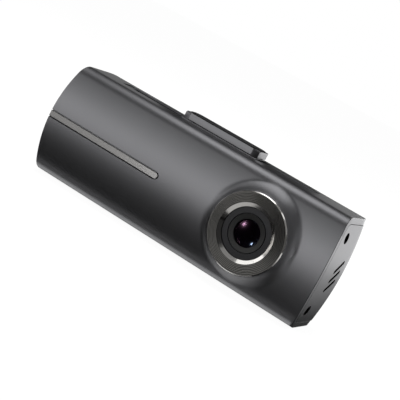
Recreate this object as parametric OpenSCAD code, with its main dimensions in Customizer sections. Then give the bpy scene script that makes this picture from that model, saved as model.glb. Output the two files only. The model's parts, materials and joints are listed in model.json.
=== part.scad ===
/* [Body] */
// Length over the crowned ends
body_l = 106; // [100:1:116]
// Height of the body
body_h = 38; // [37:0.5:42]
// Depth from the crown of the front to the crown of the back
body_d = 26; // [25:0.5:30]
// Radius of the front crown
front_r = 44; // [40:1:60]
// Radius of the back crown
rear_r = 78; // [60:1:120]
// Fillet along the top front edge
top_fillet = 5; // [4:0.1:6]
// Fillet along the bottom front edge
bottom_fillet = 4.5; // [3.6:0.1:6]
// Height of the crown on each end
end_crown = 1.7; // [1:0.1:2.2]
// Rounding of the upright back edges
rear_round = 5.2; // [4:0.1:6]
// Wall of the casing
wall = 2; // [1.6:0.1:2.4]

/* [End caps] */
// Depth from the crown of an end to the inner face of its cap
cap_t = 3.7; // [3.3:0.1:4.4]
// Gap between a cap and the casing
cap_fit = 0.1; // [0.05:0.01:0.2]
// Depth of the cap screws behind the front crown
cap_screw_y = 8.5; // [7.5:0.1:9.5]
// Height of the cap screws in from the top and bottom
cap_screw_inset = 6.5; // [6:0.1:7]
// Diameter of the screw recesses
screw_recess_d = 3.6; // [3.2:0.1:4.2]
// Length of a sound slot
slot_l = 6.9; // [4:0.1:8]
// Width of a sound slot
slot_w = 0.9; // [0.6:0.05:1.4]
// Height between sound slots
slot_pitch = 3.25; // [2.4:0.05:4]
// Slant of the sound slots
slot_slant = 34; // [0:1:45]
// Depth of the middle of the sound slots behind the front crown
slot_y = 14.6; // [13.8:0.1:15]

/* [Lens] */
// Distance from the right end to the lens axis
lens_from_end = 25.6; // [25:0.1:30]
// Radius of the boss at its foot
boss_r = 16.5; // [15.8:0.1:17]
// Outer radius of the trim ring
ring_r = 12.9; // [12:0.1:13.5]
// Radius of the crest of the trim ring
ring_crest_r = 9.45; // [9:0.05:10.5]
// How far the ring stands in front of the crown
ring_proj = 3.6; // [3.2:0.1:4.4]
// Radius of the dark face of the lens
face_r = 8.05; // [7.6:0.05:8.4]
// Outer radius of the glass retainer
retainer_r = 5.95; // [5.6:0.05:6.1]
// Radius of the front glass
glass_r = 5.1; // [4.9:0.05:5.2]
// Radius of curvature of the front glass
glass_curve = 6.7; // [6.3:0.1:7.5]
// Radius of the threaded part of the barrel
barrel_r = 6.9; // [6.5:0.1:7.2]

/* [Accent strip] */
// Length of the strip from the left end
strip_l = 45; // [30:0.5:46]
// Width of the strip
strip_w = 2; // [1.5:0.1:3]
// Gap round the strip
strip_gap = 0.3; // [0.1:0.05:0.4]
// Thickness of the strip
strip_t = 1; // [0.7:0.1:1.2]
// Height of the strip over the middle of the body
strip_z = 0.15; // [-3:0.05:3]

/* [Windscreen bracket] */
// Length of the rail inset
rail_l = 76; // [72:1:80]
// Width of the rail inset
rail_w = 6.6; // [6.4:0.1:7.2]
// Distance of the rail from the back crown
rail_from_rear = 9.6; // [9.4:0.1:11]
// Place of the middle of the rail along the body
rail_x = -3; // [-4:0.1:-2]
// Length of the bracket
bracket_l = 29; // [27:0.5:31]
// Depth of the bracket
bracket_d = 9.2; // [8.8:0.1:10]
// Place of the middle of the bracket along the body
bracket_x = -1; // [-2:0.1:0.5]
// Height of the bracket's plate over the top of the body
plate_top = 2.5; // [2.4:0.05:3]
// Thickness of the adhesive pad
pad_t = 0.5; // [0.4:0.05:1]
// Travel of the foot along the rail
foot_travel = 25; // [22:0.5:25]
// Radius of the hinge pin
pin_r = 0.4; // [0.35:0.01:0.45]

/* [Controls and boards] */
// Thickness of the back cover
cover_t = 2; // [1.6:0.1:2.2]
// Length of a button
button_l = 9; // [7:0.1:10]
// Width of a button
button_w = 4.4; // [3.6:0.1:5]
// Distance between buttons
button_pitch = 14; // [13:0.5:16]
// Gap round a button
button_gap = 0.3; // [0.2:0.05:0.4]
// Thickness of the main board
board_t = 1.2; // [0.8:0.1:1.6]
// Diameter of a supercapacitor
cap_d = 8; // [6:0.5:9]
// Length of a supercapacitor
cap_l = 20; // [16:1:22]

/* [Hidden] */
$fn = 96;
hl = body_l / 2;
hh = body_h / 2;
far = 60;
// The fillets cross the faces beside them by this much
fillet_lead = 0.03;
end_r = (hh * hh + end_crown * end_crown) / (2 * end_crown);
inner_h = hh - wall;

// End caps and back cover
cap_in = hl - cap_t;
cap_floor = 1;
cap_screw_z = hh - cap_screw_inset;
cap_post_r = 2.7;
cap_post_l = 7;
cap_screw_r = 0.95;
cover_hl = hl - rear_round - 1.4;
cover_gap = 0.1;
lip_d = 4.4;
hook_l = 6;
hook_pitch = 32;
hook_h = 0.4;
hook_gap = 0.15;

// Levels behind the front crown, from the back to the front
switch_h = 1.8;
plunger_up = 0.5;
plunger_in = 0.3;
plunger_r = 1;
press_travel = 0.45;
flange_t = 0.8;
stem_r = 1.5;
board_back = body_d - 7.4;
board_front = board_back - board_t;
frame_back = board_front - 2.7;
frame_t = 1.5;
frame_front = frame_back - frame_t;
stem_y = board_back + switch_h + plunger_up;
flange_y = body_d - cover_t - 0.4;
button_xs = [-button_pitch, 0, button_pitch];
led_z = 6;
led_h = 0.7;
pipe_r = 0.8;

// Lens stack
lens_x = hl - lens_from_end;
boss_top = ring_proj - 1.05;
boss_top_r = ring_r + 0.35;
boss_draft = 0.5;
boss_foot = 0.2;
ring_back = ring_proj - 1.9;
ring_edge = ring_proj - 0.85;
ring_bore_r = face_r + 0.1;
ring_chamfer = 0.3;
ring_fit = 0.1;
bore_r = face_r + 0.3;
face_y = ring_proj - 1.1;
retainer_seat = face_y - 0.75;
glass_top = ring_proj - 0.3;
glass_back = 0.95;
glass_centre = glass_curve - glass_top;
glass_hole_r = sqrt(pow(glass_curve, 2) - pow(glass_centre + retainer_seat, 2)) + 0.07;
stop_seat = 2.7;
stop_t = 0.3;
stop_r = 3.9;
rear_glass_y = 4.6;
rear_glass_r = 4.5;
rear_glass_t = 2.6;
rear_glass_curve = 8;
holder_flange_r = 14.5;
holder_flange_t = 1.6;
// The seat for the lens holder clears the inside of the front crown
seat_y = front_r - sqrt(pow(front_r - wall, 2) - pow(holder_flange_r, 2));
gasket_t = 0.4;
holder_front = seat_y + gasket_t;
thread_l = 4;
barrel_end = holder_front + thread_l;
holder_half = 9;
holder_end = barrel_end + 2.6;
filter_y = barrel_end + 0.8;
filter_half = 4.7;
filter_t = 0.5;
filter_gap = 0.1;
sensor_half_x = 4.5;
sensor_half_z = 4;
sensor_t = 1;
recess_half = filter_half + 0.7;
holder_bore_r = 3.5;
holder_screw_at = holder_flange_r - 2.2;
holder_screw_l = 3;
sensor_screw_at = holder_half - 1.8;
sensor_board_t = 1;
small_screw_r = 0.7;
small_head_r = 1.35;
small_head_h = 0.8;
small_hole_r = 0.9;
pilot_gap = 0.05;
pilot_extra = 0.6;
head_lead = 0.3;
board_screw_l = 3;
frame_screw_l = 5;

// Inner layout along the body
post_z = hh - 6.6;
post_r = 2.3;
frame_x0 = 17 - hl;
frame_x1 = hl - 10;
post_xs = [frame_x0 + 6, frame_x1 - 2.8];
frame_z0 = 4 - hh;
frame_z1 = hh - 4.7;
standoff_xs = [frame_x0 + 12, lens_x + 5.6];
standoff_z = hh - 6.8;
standoff_r = 1.8;
frame_window = holder_half + 1.3;
frame_window_l = 17.5;
board_x0 = 4.7 - hl;
board_z0 = 3.7 - hh;
board_z1 = hh - 5;
cell_z = cap_d / 2 + 1;
cell_x = frame_x0 + 10.4;
cell_rest = 3;
cell_over = 1;
cell_gap = 0.08;
cell_y = frame_front - cap_d / 2 - 0.1;
processor_x = lens_x - 29.4;
processor_half = 6.5;
processor_t = 1.4;
memory_x = lens_x - 43.4;
memory_half_x = 4.5;
memory_half_z = 5.5;
memory_t = 1;
link_x = processor_x + processor_half + 1;
link_l = 3.5;
link_t = 1.1;
link_half = 4.5;
sensor_link_x = lens_x - holder_half + 2;
ribbon_t = 0.3;
ribbon_half = 4;
ribbon_lead = 5.9;
ribbon_tail = 2;

// Shielded radio
radio_x = frame_x0 - 4;
radio_l = 12;
radio_half = 8;
radio_board_t = 0.8;
shield_l = 10;
shield_w = 10;
shield_h = 1.5;
shield_inset = 1;

// Sockets at the left end
usb_w = 8.94;
usb_h = 3.26;
usb_wall = 0.3;
usb_l = 7.5;
usb_x = 1.1 - hl;
usb_y = board_front - usb_h / 2;
usb_z = -7.5;
usb_clear = 0.2;
card_w = 11;
card_h = 0.8;
card_l = 15;
card_x = 2 - hl;
card_y = board_front - 0.9;
card_z = 5.2;
card_clear = 0.15;
socket_w = 14;
socket_h = 1.6;
socket_l = 14.6;
socket_x = 5 - hl;

// Sound
mic_x = lens_x - 0.4;
mic_z = -9;
mic_h = 1.1;
speaker_half_z = 8.5;
speaker_half_y = 6;
speaker_t = 4;
speaker_rim = 1.2;
foam_t = 0.8;

// Rail and bracket
rail_y = body_d - rail_from_rear;
rail_depth = 4;
rail_sink = 0.3;
rail_flange = 1;
rail_flange_t = 1.2;
neck_w = 3.4;
head_w = 5.2;
lip_t = 0.8;
head_room = 1.4;
foot_l = 24;
foot_gap = 0.2;
slot_x1 = bracket_x + foot_l / 2 + foot_gap;
slot_x0 = bracket_x - foot_l / 2 - foot_travel - foot_gap;
bracket_half = bracket_l / 2;
plate_y0 = rail_y - bracket_d / 2;
plate_y1 = rail_y + bracket_d / 2;
base_z = hh + 0.15;
base_t = 0.35;
base_lip = 0.2;
plate_low = 0.75;
hinge_wall = 0.35;
hinge_in = pin_r + hinge_wall;
hinge_y = plate_y0 + hinge_in;
hinge_z = hh + plate_low + hinge_in;
turn_r = hinge_in + 0.05;
ear_l = 2.2;
ear_d = 2 * hinge_in + 0.1;
ear_gap = 0.2;
ear_reach = sqrt(pow(ear_d - hinge_in, 2) + pow(plate_top - plate_low - hinge_in, 2));
notch_d = hinge_in + ear_reach + ear_gap + 0.1;
pin_half = bracket_half - ear_l / 2;

// Half outline of an arc, points from angle a0 to a1
function arc(cx, cy, r, a0, a1) =
  [for (i = [0:12]) [cx + r * cos(a0 + (a1 - a0) * i / 12), cy + r * sin(a0 + (a1 - a0) * i / 12)]];

// Rounded bar of length l and width w, along x and centred
function bar(l, w) = concat(
  arc((l - w) / 2, 0, w / 2, -90, 90),
  arc((w - l) / 2, 0, w / 2, 90, 270)
);

// Depth of the front crown at height z
function crown_y(z) = front_r - sqrt(front_r * front_r - z * z);

// Depth of the back crown, or of a face inset from it, at height z
function back_y(z, inset) = body_d - rear_r + sqrt(pow(rear_r - inset, 2) - z * z);

// Depth of the middle of a fillet of radius f
function fillet_y(f) = front_r - sqrt(pow(front_r - f, 2) - pow(hh - f, 2));

// Moves from the body's own frame to the middle of the bottom of the box round the part
module in_place() {
  translate([0, (ring_proj - body_d) / 2, hh])
    children();
}

module along_x(x0, len) {
  translate([x0, 0, 0])
    rotate([90, 0, 90])
      linear_extrude(len)
        children();
}

module along_y(y0, len) {
  translate([0, y0, 0])
    rotate([-90, 0, 0])
      linear_extrude(len)
        children();
}

module about_y(x, z) {
  translate([x, 0, z])
    rotate([-90, 180, 0])
      rotate_extrude()
        children();
}

module rod_x(x, y, z, r, len) {
  translate([x, y, z])
    rotate([0, 90, 0])
      cylinder(r = r, h = len);
}

module rod_y(x, y, z, r, len) {
  translate([x, y, z])
    rotate([-90, 0, 0])
      cylinder(r = r, h = len);
}

module block(x0, x1, y0, y1, z0, z1) {
  translate([x0, y0, z0])
    cube([x1 - x0, y1 - y0, z1 - z0]);
}

module both_ends() {
  children();
  mirror([1, 0, 0])
    children();
}

module both_heights() {
  children();
  mirror([0, 0, 1])
    children();
}

module corner_cut(f, inset) {
  yc = fillet_y(f);
  zc = hh - f;
  reach = 2 * f;
  uy = (yc - front_r) / (front_r - f);
  uz = zc / (front_r - f);
  difference() {
    polygon([
      [yc, zc],
      [yc + reach * uy, zc + reach * uz],
      [yc + reach * uy, zc + reach],
      [yc, zc + reach]
    ]);
    translate([yc, zc])
      circle(r = f - inset + fillet_lead);
  }
}

// Section of the casing in depth and height, open at the back
module casing_section(inset) {
  difference() {
    intersection() {
      translate([front_r, 0])
        circle(r = front_r - inset, $fn = 240);
      translate([-1, inset - hh])
        square([body_d + 12, body_h - 2 * inset]);
    }
    corner_cut(top_fillet, inset);
    mirror([0, 1])
      corner_cut(bottom_fillet, inset);
  }
}

// Crowned end with its rounded back edge
module end_bound() {
  about_y(hl - end_r, 0, $fn = 256)
    polygon(concat(
      [[0, -20], [end_r, -20]],
      [for (a = [0:10:80])
        [end_r - rear_round + rear_round * cos(a), body_d - rear_round + rear_round * sin(a)]],
      [[0, body_d + 20]]
    ));
}

module envelope() {
  intersection() {
    along_x(-hl - 1, body_l + 2)
      intersection() {
        casing_section(0);
        translate([body_d - rear_r, 0])
          circle(r = rear_r, $fn = 240);
      }
    end_bound();
    mirror([1, 0, 0])
      end_bound();
  }
}

module lens_boss() {
  about_y(lens_x, 0)
    polygon(concat(
      [[bore_r, seat_y], [boss_r + boss_draft, seat_y]],
      [for (t = [0:0.125:1])
        [
          boss_r + (boss_top_r - boss_r) * t,
          boss_foot - (boss_top + boss_foot) * (3 * t * t - 2 * t * t * t)
        ]],
      [[bore_r, -boss_top]]
    ));
}

// Places four things round the lens axis, at distance d
module round_lens(d) {
  for (a = [0:90:270])
    translate([lens_x + d * cos(a), 0, d * sin(a)])
      children();
}

// Places four things at the corners of a square round the lens axis
module lens_corners(d) {
  for (sx = [-d, d], sz = [-d, d])
    translate([lens_x + sx, 0, sz])
      children();
}

module strip_outline(extra) {
  translate([strip_l - hl - far / 2 - strip_gap + extra, -strip_z])
    polygon(bar(far, strip_w + 2 * extra));
}

module front_shell() {
  color("#77777a") in_place()
    difference() {
      union() {
        difference() {
          envelope();
          along_x(-hl - 2, body_l + 4)
            casing_section(wall);
        }
        lens_boss();
        for (x = post_xs)
          both_heights()
            rod_y(x, crown_y(post_z) + wall / 2, post_z, post_r, frame_front - crown_y(post_z) - wall / 2);
        both_ends()
          both_heights() {
            rod_x(cap_in - cap_post_l, cap_screw_y, cap_screw_z, cap_post_r, cap_post_l);
            block(
              cap_in - cap_post_l, cap_in, cap_screw_y - 0.9, cap_screw_y + 0.9,
              cap_screw_z, hh - wall / 2
            );
          }
      }
      rod_y(lens_x, -far, 0, bore_r, 2 * far);
      rod_y(lens_x, -far, 0, ring_r + ring_fit, far - ring_back);
      along_y(-1, 1 + strip_t)
        strip_outline(strip_gap);
      block(
        rail_x - rail_l / 2 - cap_fit, rail_x + rail_l / 2 + cap_fit,
        rail_y - rail_w / 2 - cap_fit, rail_y + rail_w / 2 + cap_fit, inner_h - 1, hh + 1
      );
      round_lens(holder_screw_at)
        rod_y(0, seat_y - holder_screw_l - pilot_extra, 0, small_screw_r + pilot_gap, far);
      for (x = post_xs)
        both_heights()
          rod_y(x, frame_front - frame_screw_l - pilot_extra, post_z, small_screw_r + pilot_gap, far);
      both_ends()
        both_heights()
          rod_x(cap_in - 6, cap_screw_y, cap_screw_z, cap_screw_r + 0.05, 7);
      for (x = [-hook_pitch, 0, hook_pitch])
        both_heights()
          block(
            x - hook_l / 2 - hook_gap, x + hook_l / 2 + hook_gap,
            back_y(inner_h, cover_t) + 0.25 - hook_gap, back_y(inner_h, cover_t) + 1.15 + hook_gap,
            inner_h - 0.5, inner_h + hook_h + hook_gap
          );
    }
}

module rear_cover() {
  color("#6c6c70") in_place()
    difference() {
      union() {
        along_x(-cover_hl, 2 * cover_hl)
          difference() {
            intersection() {
              translate([body_d - rear_r, 0])
                circle(r = rear_r, $fn = 240);
              translate([body_d - 12, cover_gap - inner_h])
                square([14, 2 * (inner_h - cover_gap)]);
            }
            translate([body_d - rear_r, 0])
              circle(r = rear_r - cover_t, $fn = 240);
          }
        for (x = [-hook_pitch, 0, hook_pitch])
          both_heights()
            block(
              x - hook_l / 2, x + hook_l / 2,
              back_y(inner_h, cover_t) + 0.25, back_y(inner_h, cover_t) + 1.15,
              inner_h - 1, inner_h + hook_h
            );
      }
      for (x = button_xs) {
        translate([x, 0, 0])
          along_y(board_back, far)
            polygon(bar(button_l + 2 * button_gap, button_w + 2 * button_gap));
        rod_y(x, board_back, led_z, pipe_r + 0.1, far);
      }
      rod_y(mic_x, board_back, mic_z, 0.6, far);
    }
}

// Right end cap without its slots
module cap_blank() {
  difference() {
    intersection() {
      envelope();
      along_x(0, hl + 2)
        casing_section(wall + cap_fit);
      union() {
        block(cap_in, hl + 1, -1, body_d + 1, -hh, hh);
        block(cover_hl + cover_gap, hl + 1, body_d - lip_d, body_d + 1, -hh, hh);
      }
    }
    both_heights() {
      rod_x(cap_in - 1, cap_screw_y, cap_screw_z, cap_screw_r + 0.1, far);
      rod_x(cap_in + cap_floor, cap_screw_y, cap_screw_z, screw_recess_d / 2, far);
    }
  }
}

module right_end_cap() {
  color("#8a8a8d") in_place()
    difference() {
      cap_blank();
      for (i = [-1:1])
        along_x(cap_in - 1, far)
          translate([slot_y + 0.1 * i, -0.3 - slot_pitch * i])
            rotate(slot_slant)
              polygon(bar(slot_l, slot_w));
    }
}

module left_end_cap() {
  color("#8a8a8d") in_place()
    difference() {
      mirror([1, 0, 0])
        cap_blank();
      along_x(-hl - 1, cap_t + 2)
        translate([usb_y, usb_z])
          rotate(90)
            polygon(bar(usb_w + 2 * usb_clear, usb_h + 2 * usb_clear));
      block(
        -hl - 1, 1 - cap_in, card_y - 0.8, card_y + 0.8,
        card_z - card_w / 2 - 0.4, card_z + card_w / 2 + 0.4
      );
      block(-hl - 1, 1.6 - hl, card_y - 1.6, card_y + 1.6, card_z - 3, card_z + 3);
    }
}

module end_cap_screws() {
  color("#1c1c1e") in_place()
    both_ends()
      both_heights()
        difference() {
          union() {
            rod_x(cap_in - 5.6, cap_screw_y, cap_screw_z, cap_screw_r, 5.6 + cap_floor + 0.5);
            rod_x(cap_in + cap_floor, cap_screw_y, cap_screw_z, screw_recess_d / 2 - 0.15, 1);
          }
          block(
            cap_in + cap_floor + 0.5, hl, cap_screw_y - 0.2, cap_screw_y + 0.2,
            cap_screw_z - 0.9, cap_screw_z + 0.9
          );
          block(
            cap_in + cap_floor + 0.5, hl, cap_screw_y - 0.9, cap_screw_y + 0.9,
            cap_screw_z - 0.2, cap_screw_z + 0.2
          );
        }
}

module accent_strip() {
  color("#a09c98") in_place()
    intersection() {
      envelope();
      along_y(-1, 1 + strip_t)
        strip_outline(0);
    }
}

module lens_ring() {
  color("#56534f") in_place()
    about_y(lens_x, 0)
      polygon([
        [ring_r, -ring_back],
        [ring_r, -ring_edge],
        [ring_r - ring_chamfer, -ring_edge - 0.25],
        [ring_crest_r, -ring_proj],
        [ring_bore_r, -face_y - 0.1],
        [ring_bore_r, -ring_back]
      ]);
}

module lens_gasket() {
  color("#202022") in_place()
    difference() {
      rod_y(lens_x, seat_y, 0, holder_flange_r - 0.3, gasket_t);
      rod_y(lens_x, seat_y - 1, 0, bore_r + 0.2, gasket_t + 2);
      round_lens(holder_screw_at)
        rod_y(0, seat_y - 1, 0, small_hole_r, gasket_t + 2);
    }
}

module lens_barrel() {
  color("#2c2c2e") in_place()
    about_y(lens_x, 0)
      polygon([
        [retainer_r + 0.2, -face_y],
        [face_r, -face_y],
        [face_r, holder_front],
        [barrel_r, holder_front],
        [barrel_r, barrel_end],
        [rear_glass_r + 0.1, barrel_end],
        [rear_glass_r + 0.1, rear_glass_y],
        [stop_r - 0.5, rear_glass_y],
        [stop_r - 0.5, stop_seat],
        [stop_r + 0.1, stop_seat],
        [stop_r + 0.1, glass_back],
        [glass_r + 0.1, glass_back],
        [glass_r + 0.1, -retainer_seat],
        [retainer_r + 0.2, -retainer_seat]
      ]);
}

module lens_retainer() {
  color("#242426") in_place()
    about_y(lens_x, 0)
      polygon([
        [retainer_r, -retainer_seat],
        [retainer_r, -face_y - 0.05],
        [glass_hole_r, -face_y + 0.25],
        [glass_hole_r, -retainer_seat]
      ]);
}

module front_element() {
  color("#9db4d8") in_place()
    intersection() {
      rod_y(lens_x, -glass_top - 1, 0, glass_r, glass_top + 1 + glass_back);
      translate([lens_x, glass_centre, 0])
        sphere(r = glass_curve);
    }
}

module aperture_disc() {
  color("#111112") in_place()
    difference() {
      rod_y(lens_x, stop_seat - stop_t, 0, stop_r, stop_t);
      rod_y(lens_x, 0, 0, 1.6, far);
    }
}

module rear_element() {
  color("#9db4d8") in_place()
    intersection() {
      rod_y(lens_x, rear_glass_y, 0, rear_glass_r, rear_glass_t + 1);
      translate([lens_x, rear_glass_y + rear_glass_t - rear_glass_curve, 0])
        sphere(r = rear_glass_curve);
    }
}

module lens_holder() {
  color("#3a3a3d") in_place()
    difference() {
      union() {
        rod_y(lens_x, holder_front, 0, holder_flange_r, holder_flange_t);
        block(
          lens_x - holder_half, lens_x + holder_half, holder_front + 1, holder_end,
          -holder_half, holder_half
        );
      }
      rod_y(lens_x, holder_front - 1, 0, barrel_r + 0.1, thread_l + 1.2);
      rod_y(lens_x, holder_front, 0, holder_bore_r, far);
      block(
        lens_x - filter_half - filter_gap, lens_x + filter_half + filter_gap, filter_y, far,
        -filter_half - filter_gap, filter_half + filter_gap
      );
      block(
        lens_x - recess_half, lens_x + recess_half, filter_y + filter_t + filter_gap, far,
        -recess_half, recess_half
      );
      lens_corners(sensor_screw_at)
        rod_y(0, holder_end - board_screw_l - pilot_extra, 0, small_screw_r + pilot_gap, far);
      round_lens(holder_screw_at)
        rod_y(0, holder_front - 1, 0, small_hole_r, far);
    }
}

module lens_holder_screws() {
  color("#b9bcc0") in_place()
    round_lens(holder_screw_at) {
      rod_y(0, holder_front + holder_flange_t, 0, small_head_r, small_head_h);
      rod_y(
        0, seat_y - holder_screw_l, 0, small_screw_r,
        holder_screw_l + gasket_t + holder_flange_t + head_lead
      );
    }
}

module ir_filter() {
  color("#7fa8a0") in_place()
    block(
      lens_x - filter_half, lens_x + filter_half, filter_y, filter_y + filter_t,
      -filter_half, filter_half
    );
}

module image_sensor() {
  color("#4b5a52") in_place()
    block(
      lens_x - sensor_half_x, lens_x + sensor_half_x, holder_end - sensor_t, holder_end,
      -sensor_half_z, sensor_half_z
    );
}

module sensor_board() {
  color("#1f5a3a") in_place()
    difference() {
      block(
        lens_x - holder_half, lens_x + holder_half, holder_end, holder_end + sensor_board_t,
        -holder_half, holder_half
      );
      lens_corners(sensor_screw_at)
        rod_y(0, 0, 0, small_hole_r, far);
    }
}

module sensor_board_screws() {
  color("#b9bcc0") in_place()
    lens_corners(sensor_screw_at) {
      rod_y(0, holder_end + sensor_board_t, 0, small_head_r, small_head_h);
      rod_y(0, holder_end - board_screw_l, 0, small_screw_r, board_screw_l + head_lead + sensor_board_t);
    }
}

module ribbon_connectors() {
  color("#d8d2c0") in_place() {
    block(
      sensor_link_x, sensor_link_x + link_l, holder_end + sensor_board_t,
      holder_end + sensor_board_t + link_t, -link_half, link_half
    );
    block(link_x, link_x + link_l, board_front - link_t, board_front, -link_half, link_half);
  }
}

module sensor_ribbon() {
  y0 = holder_end + sensor_board_t + link_t / 2;
  y1 = board_front - link_t / 2;
  x0 = sensor_link_x - ribbon_lead;
  x1 = link_x + link_l + ribbon_tail;
  edge = [for (t = [0:0.125:1]) [x0 + (x1 - x0) * t, y0 + (y1 - y0) * (3 * t * t - 2 * t * t * t)]];
  route = concat([[sensor_link_x, y0]], edge, [[link_x + link_l, y1]]);
  last = len(route) - 1;
  color("#c88a3c") in_place()
    translate([0, 0, -ribbon_half])
      linear_extrude(2 * ribbon_half)
        polygon(concat(
          [for (p = route) [p[0], p[1] - ribbon_t / 2]],
          [for (i = [last:-1:0]) [route[i][0], route[i][1] + ribbon_t / 2]]
        ));
}

module heat_frame() {
  color("#b4b7ba") in_place()
    difference() {
      union() {
        block(frame_x0, frame_x1, frame_front, frame_back, frame_z0, frame_z1);
        for (x = standoff_xs)
          both_heights()
            rod_y(x, frame_back - 0.5, standoff_z, standoff_r, board_front - frame_back + 0.5);
        block(
          cell_x + cell_rest, cell_x + cap_l - cell_rest, cell_y + cap_d / 4, frame_front + 0.5,
          -cell_z - cap_d / 4, cell_z + cap_d / 4
        );
      }
      block(
        lens_x - frame_window_l, lens_x + frame_window + 1.7, 0, far, -frame_window, frame_window
      );
      both_heights()
        rod_x(cell_x - cell_over, cell_y, cell_z, cap_d / 2 + cell_gap, cap_l + 2 * cell_over);
      for (x = standoff_xs)
        both_heights()
          rod_y(x, frame_front - 1, standoff_z, small_screw_r + pilot_gap, far);
      for (x = post_xs)
        both_heights()
          rod_y(x, frame_front - 1, post_z, small_hole_r, far);
    }
}

module heat_frame_screws() {
  color("#b9bcc0") in_place()
    for (x = post_xs)
      both_heights() {
        rod_y(x, frame_back, post_z, small_head_r, small_head_h);
        rod_y(x, frame_front - frame_screw_l, post_z, small_screw_r, frame_screw_l + head_lead + frame_t);
      }
}

module main_board() {
  color("#1f5a3a") in_place()
    difference() {
      block(board_x0, frame_x1, board_front, board_back, board_z0, board_z1);
      for (x = standoff_xs)
        both_heights()
          rod_y(x, 0, standoff_z, small_hole_r, far);
    }
}

module main_board_screws() {
  color("#b9bcc0") in_place()
    for (x = standoff_xs)
      both_heights() {
        rod_y(x, board_back, standoff_z, small_head_r, small_head_h);
        rod_y(x, board_front - board_screw_l, standoff_z, small_screw_r, board_screw_l + head_lead + board_t);
      }
}

module processor() {
  color("#26272b") in_place()
    block(
      processor_x - processor_half, processor_x + processor_half,
      board_front - processor_t, board_front, -processor_half, processor_half
    );
}

module memory_chip() {
  color("#26272b") in_place()
    block(
      memory_x - memory_half_x, memory_x + memory_half_x, board_front - memory_t, board_front,
      -memory_half_z, memory_half_z
    );
}

module thermal_pad() {
  color("#9aa7b8") in_place()
    block(
      processor_x - processor_half + 0.5, processor_x + processor_half - 0.5,
      frame_back, board_front - processor_t, 0.5 - processor_half, processor_half - 0.5
    );
}

module supercapacitors() {
  color("#2d3a6a") in_place()
    both_heights()
      rod_x(cell_x, cell_y, cell_z, cap_d / 2, cap_l);
}

module wifi_module() {
  color("#c2c4c6") in_place() {
    block(radio_x, radio_x + radio_l, board_back, board_back + radio_board_t, -radio_half, radio_half);
    block(
      radio_x + shield_inset, radio_x + shield_inset + shield_l,
      board_back + radio_board_t - 0.1, board_back + radio_board_t - 0.1 + shield_h,
      shield_inset - radio_half, shield_inset - radio_half + shield_w
    );
  }
}

module usb_socket() {
  color("#c9ccd0") in_place()
    difference() {
      along_x(usb_x, usb_l)
        translate([usb_y, usb_z])
          rotate(90)
            polygon(bar(usb_w, usb_h));
      along_x(usb_x - 1, usb_l + 0.4)
        translate([usb_y, usb_z])
          rotate(90)
            polygon(bar(usb_w - 2 * usb_wall, usb_h - 2 * usb_wall));
    }
}

module usb_tongue() {
  color("#1a1a1c") in_place()
    block(usb_x + 0.9, usb_x + usb_l - 0.6, usb_y - 0.35, usb_y + 0.35, usb_z - 3.35, usb_z + 3.35);
}

module card_socket() {
  color("#b4b7ba") in_place()
    difference() {
      block(
        socket_x, socket_x + socket_l, board_front - socket_h, board_front,
        card_z - socket_w / 2, card_z + socket_w / 2
      );
      block(
        socket_x - 1, socket_x + socket_l - 0.6,
        card_y - card_h / 2 - card_clear, card_y + card_h / 2 + card_clear,
        card_z - card_w / 2 - card_clear, card_z + card_w / 2 + card_clear
      );
    }
}

module memory_card() {
  color("#18181a") in_place()
    block(
      card_x, card_x + card_l, card_y - card_h / 2, card_y + card_h / 2,
      card_z - card_w / 2, card_z + card_w / 2
    );
}

module microphone() {
  color("#c8b070") in_place()
    block(mic_x - 1.9, mic_x + 1.9, board_back, board_back + mic_h, mic_z - 1.5, mic_z + 1.5);
}

module microphone_boot() {
  y0 = board_back + mic_h;
  color("#202022") in_place()
    difference() {
      rod_y(mic_x, y0, mic_z, 1.8, back_y(mic_z - 1.8, cover_t) - y0 - 0.05);
      rod_y(mic_x, y0 - 1, mic_z, 0.6, far);
    }
}

module speaker_frame() {
  x1 = cap_in - foam_t;
  color("#303033") in_place()
    difference() {
      block(
        x1 - speaker_t, x1, slot_y - speaker_half_y, slot_y + speaker_half_y,
        -speaker_half_z, speaker_half_z
      );
      block(
        x1 - 1.5, far, slot_y - speaker_half_y + speaker_rim, slot_y + speaker_half_y - speaker_rim,
        speaker_rim - speaker_half_z, speaker_half_z - speaker_rim
      );
    }
}

module speaker_cone() {
  x0 = cap_in - foam_t - 1.5;
  color("#1a1a1c") in_place() {
    block(
      x0, x0 + 0.5, slot_y - speaker_half_y + speaker_rim + 0.1, slot_y + speaker_half_y - speaker_rim - 0.1,
      speaker_rim + 0.1 - speaker_half_z, speaker_half_z - speaker_rim - 0.1
    );
    rod_x(x0 + 0.3, slot_y, 0, 3, 0.7);
  }
}

module speaker_gasket() {
  color("#202022") in_place()
    difference() {
      block(
        cap_in - foam_t, cap_in, slot_y - speaker_half_y, slot_y + speaker_half_y,
        -speaker_half_z, speaker_half_z
      );
      block(
        0, far, slot_y - speaker_half_y + speaker_rim, slot_y + speaker_half_y - speaker_rim,
        speaker_rim - speaker_half_z, speaker_half_z - speaker_rim
      );
    }
}

module switch_bodies() {
  color("#b0b2b4") in_place()
    for (x = button_xs)
      difference() {
        block(x - 2.2, x + 2.2, board_back, board_back + switch_h, -2.2, 2.2);
        rod_y(x, board_back + switch_h - plunger_in - press_travel - 0.2, 0, plunger_r + 0.3, far);
      }
}

module button(x) {
  in_place()
    translate([x, 0, 0]) {
      rod_y(0, stem_y, 0, stem_r, flange_y - stem_y + 0.2 - flange_t);
      along_y(flange_y - flange_t, flange_t)
        polygon(bar(button_l + 2, button_w + 2));
      along_y(flange_y - 0.2, body_d - 0.15 - flange_y + 0.2)
        polygon(bar(button_l, button_w));
    }
}

module power_button() {
  color("#55555a")
    button(button_xs[0]);
}

module lock_button() {
  color("#55555a")
    button(button_xs[1]);
}

module wifi_button() {
  color("#55555a")
    button(button_xs[2]);
}

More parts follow.
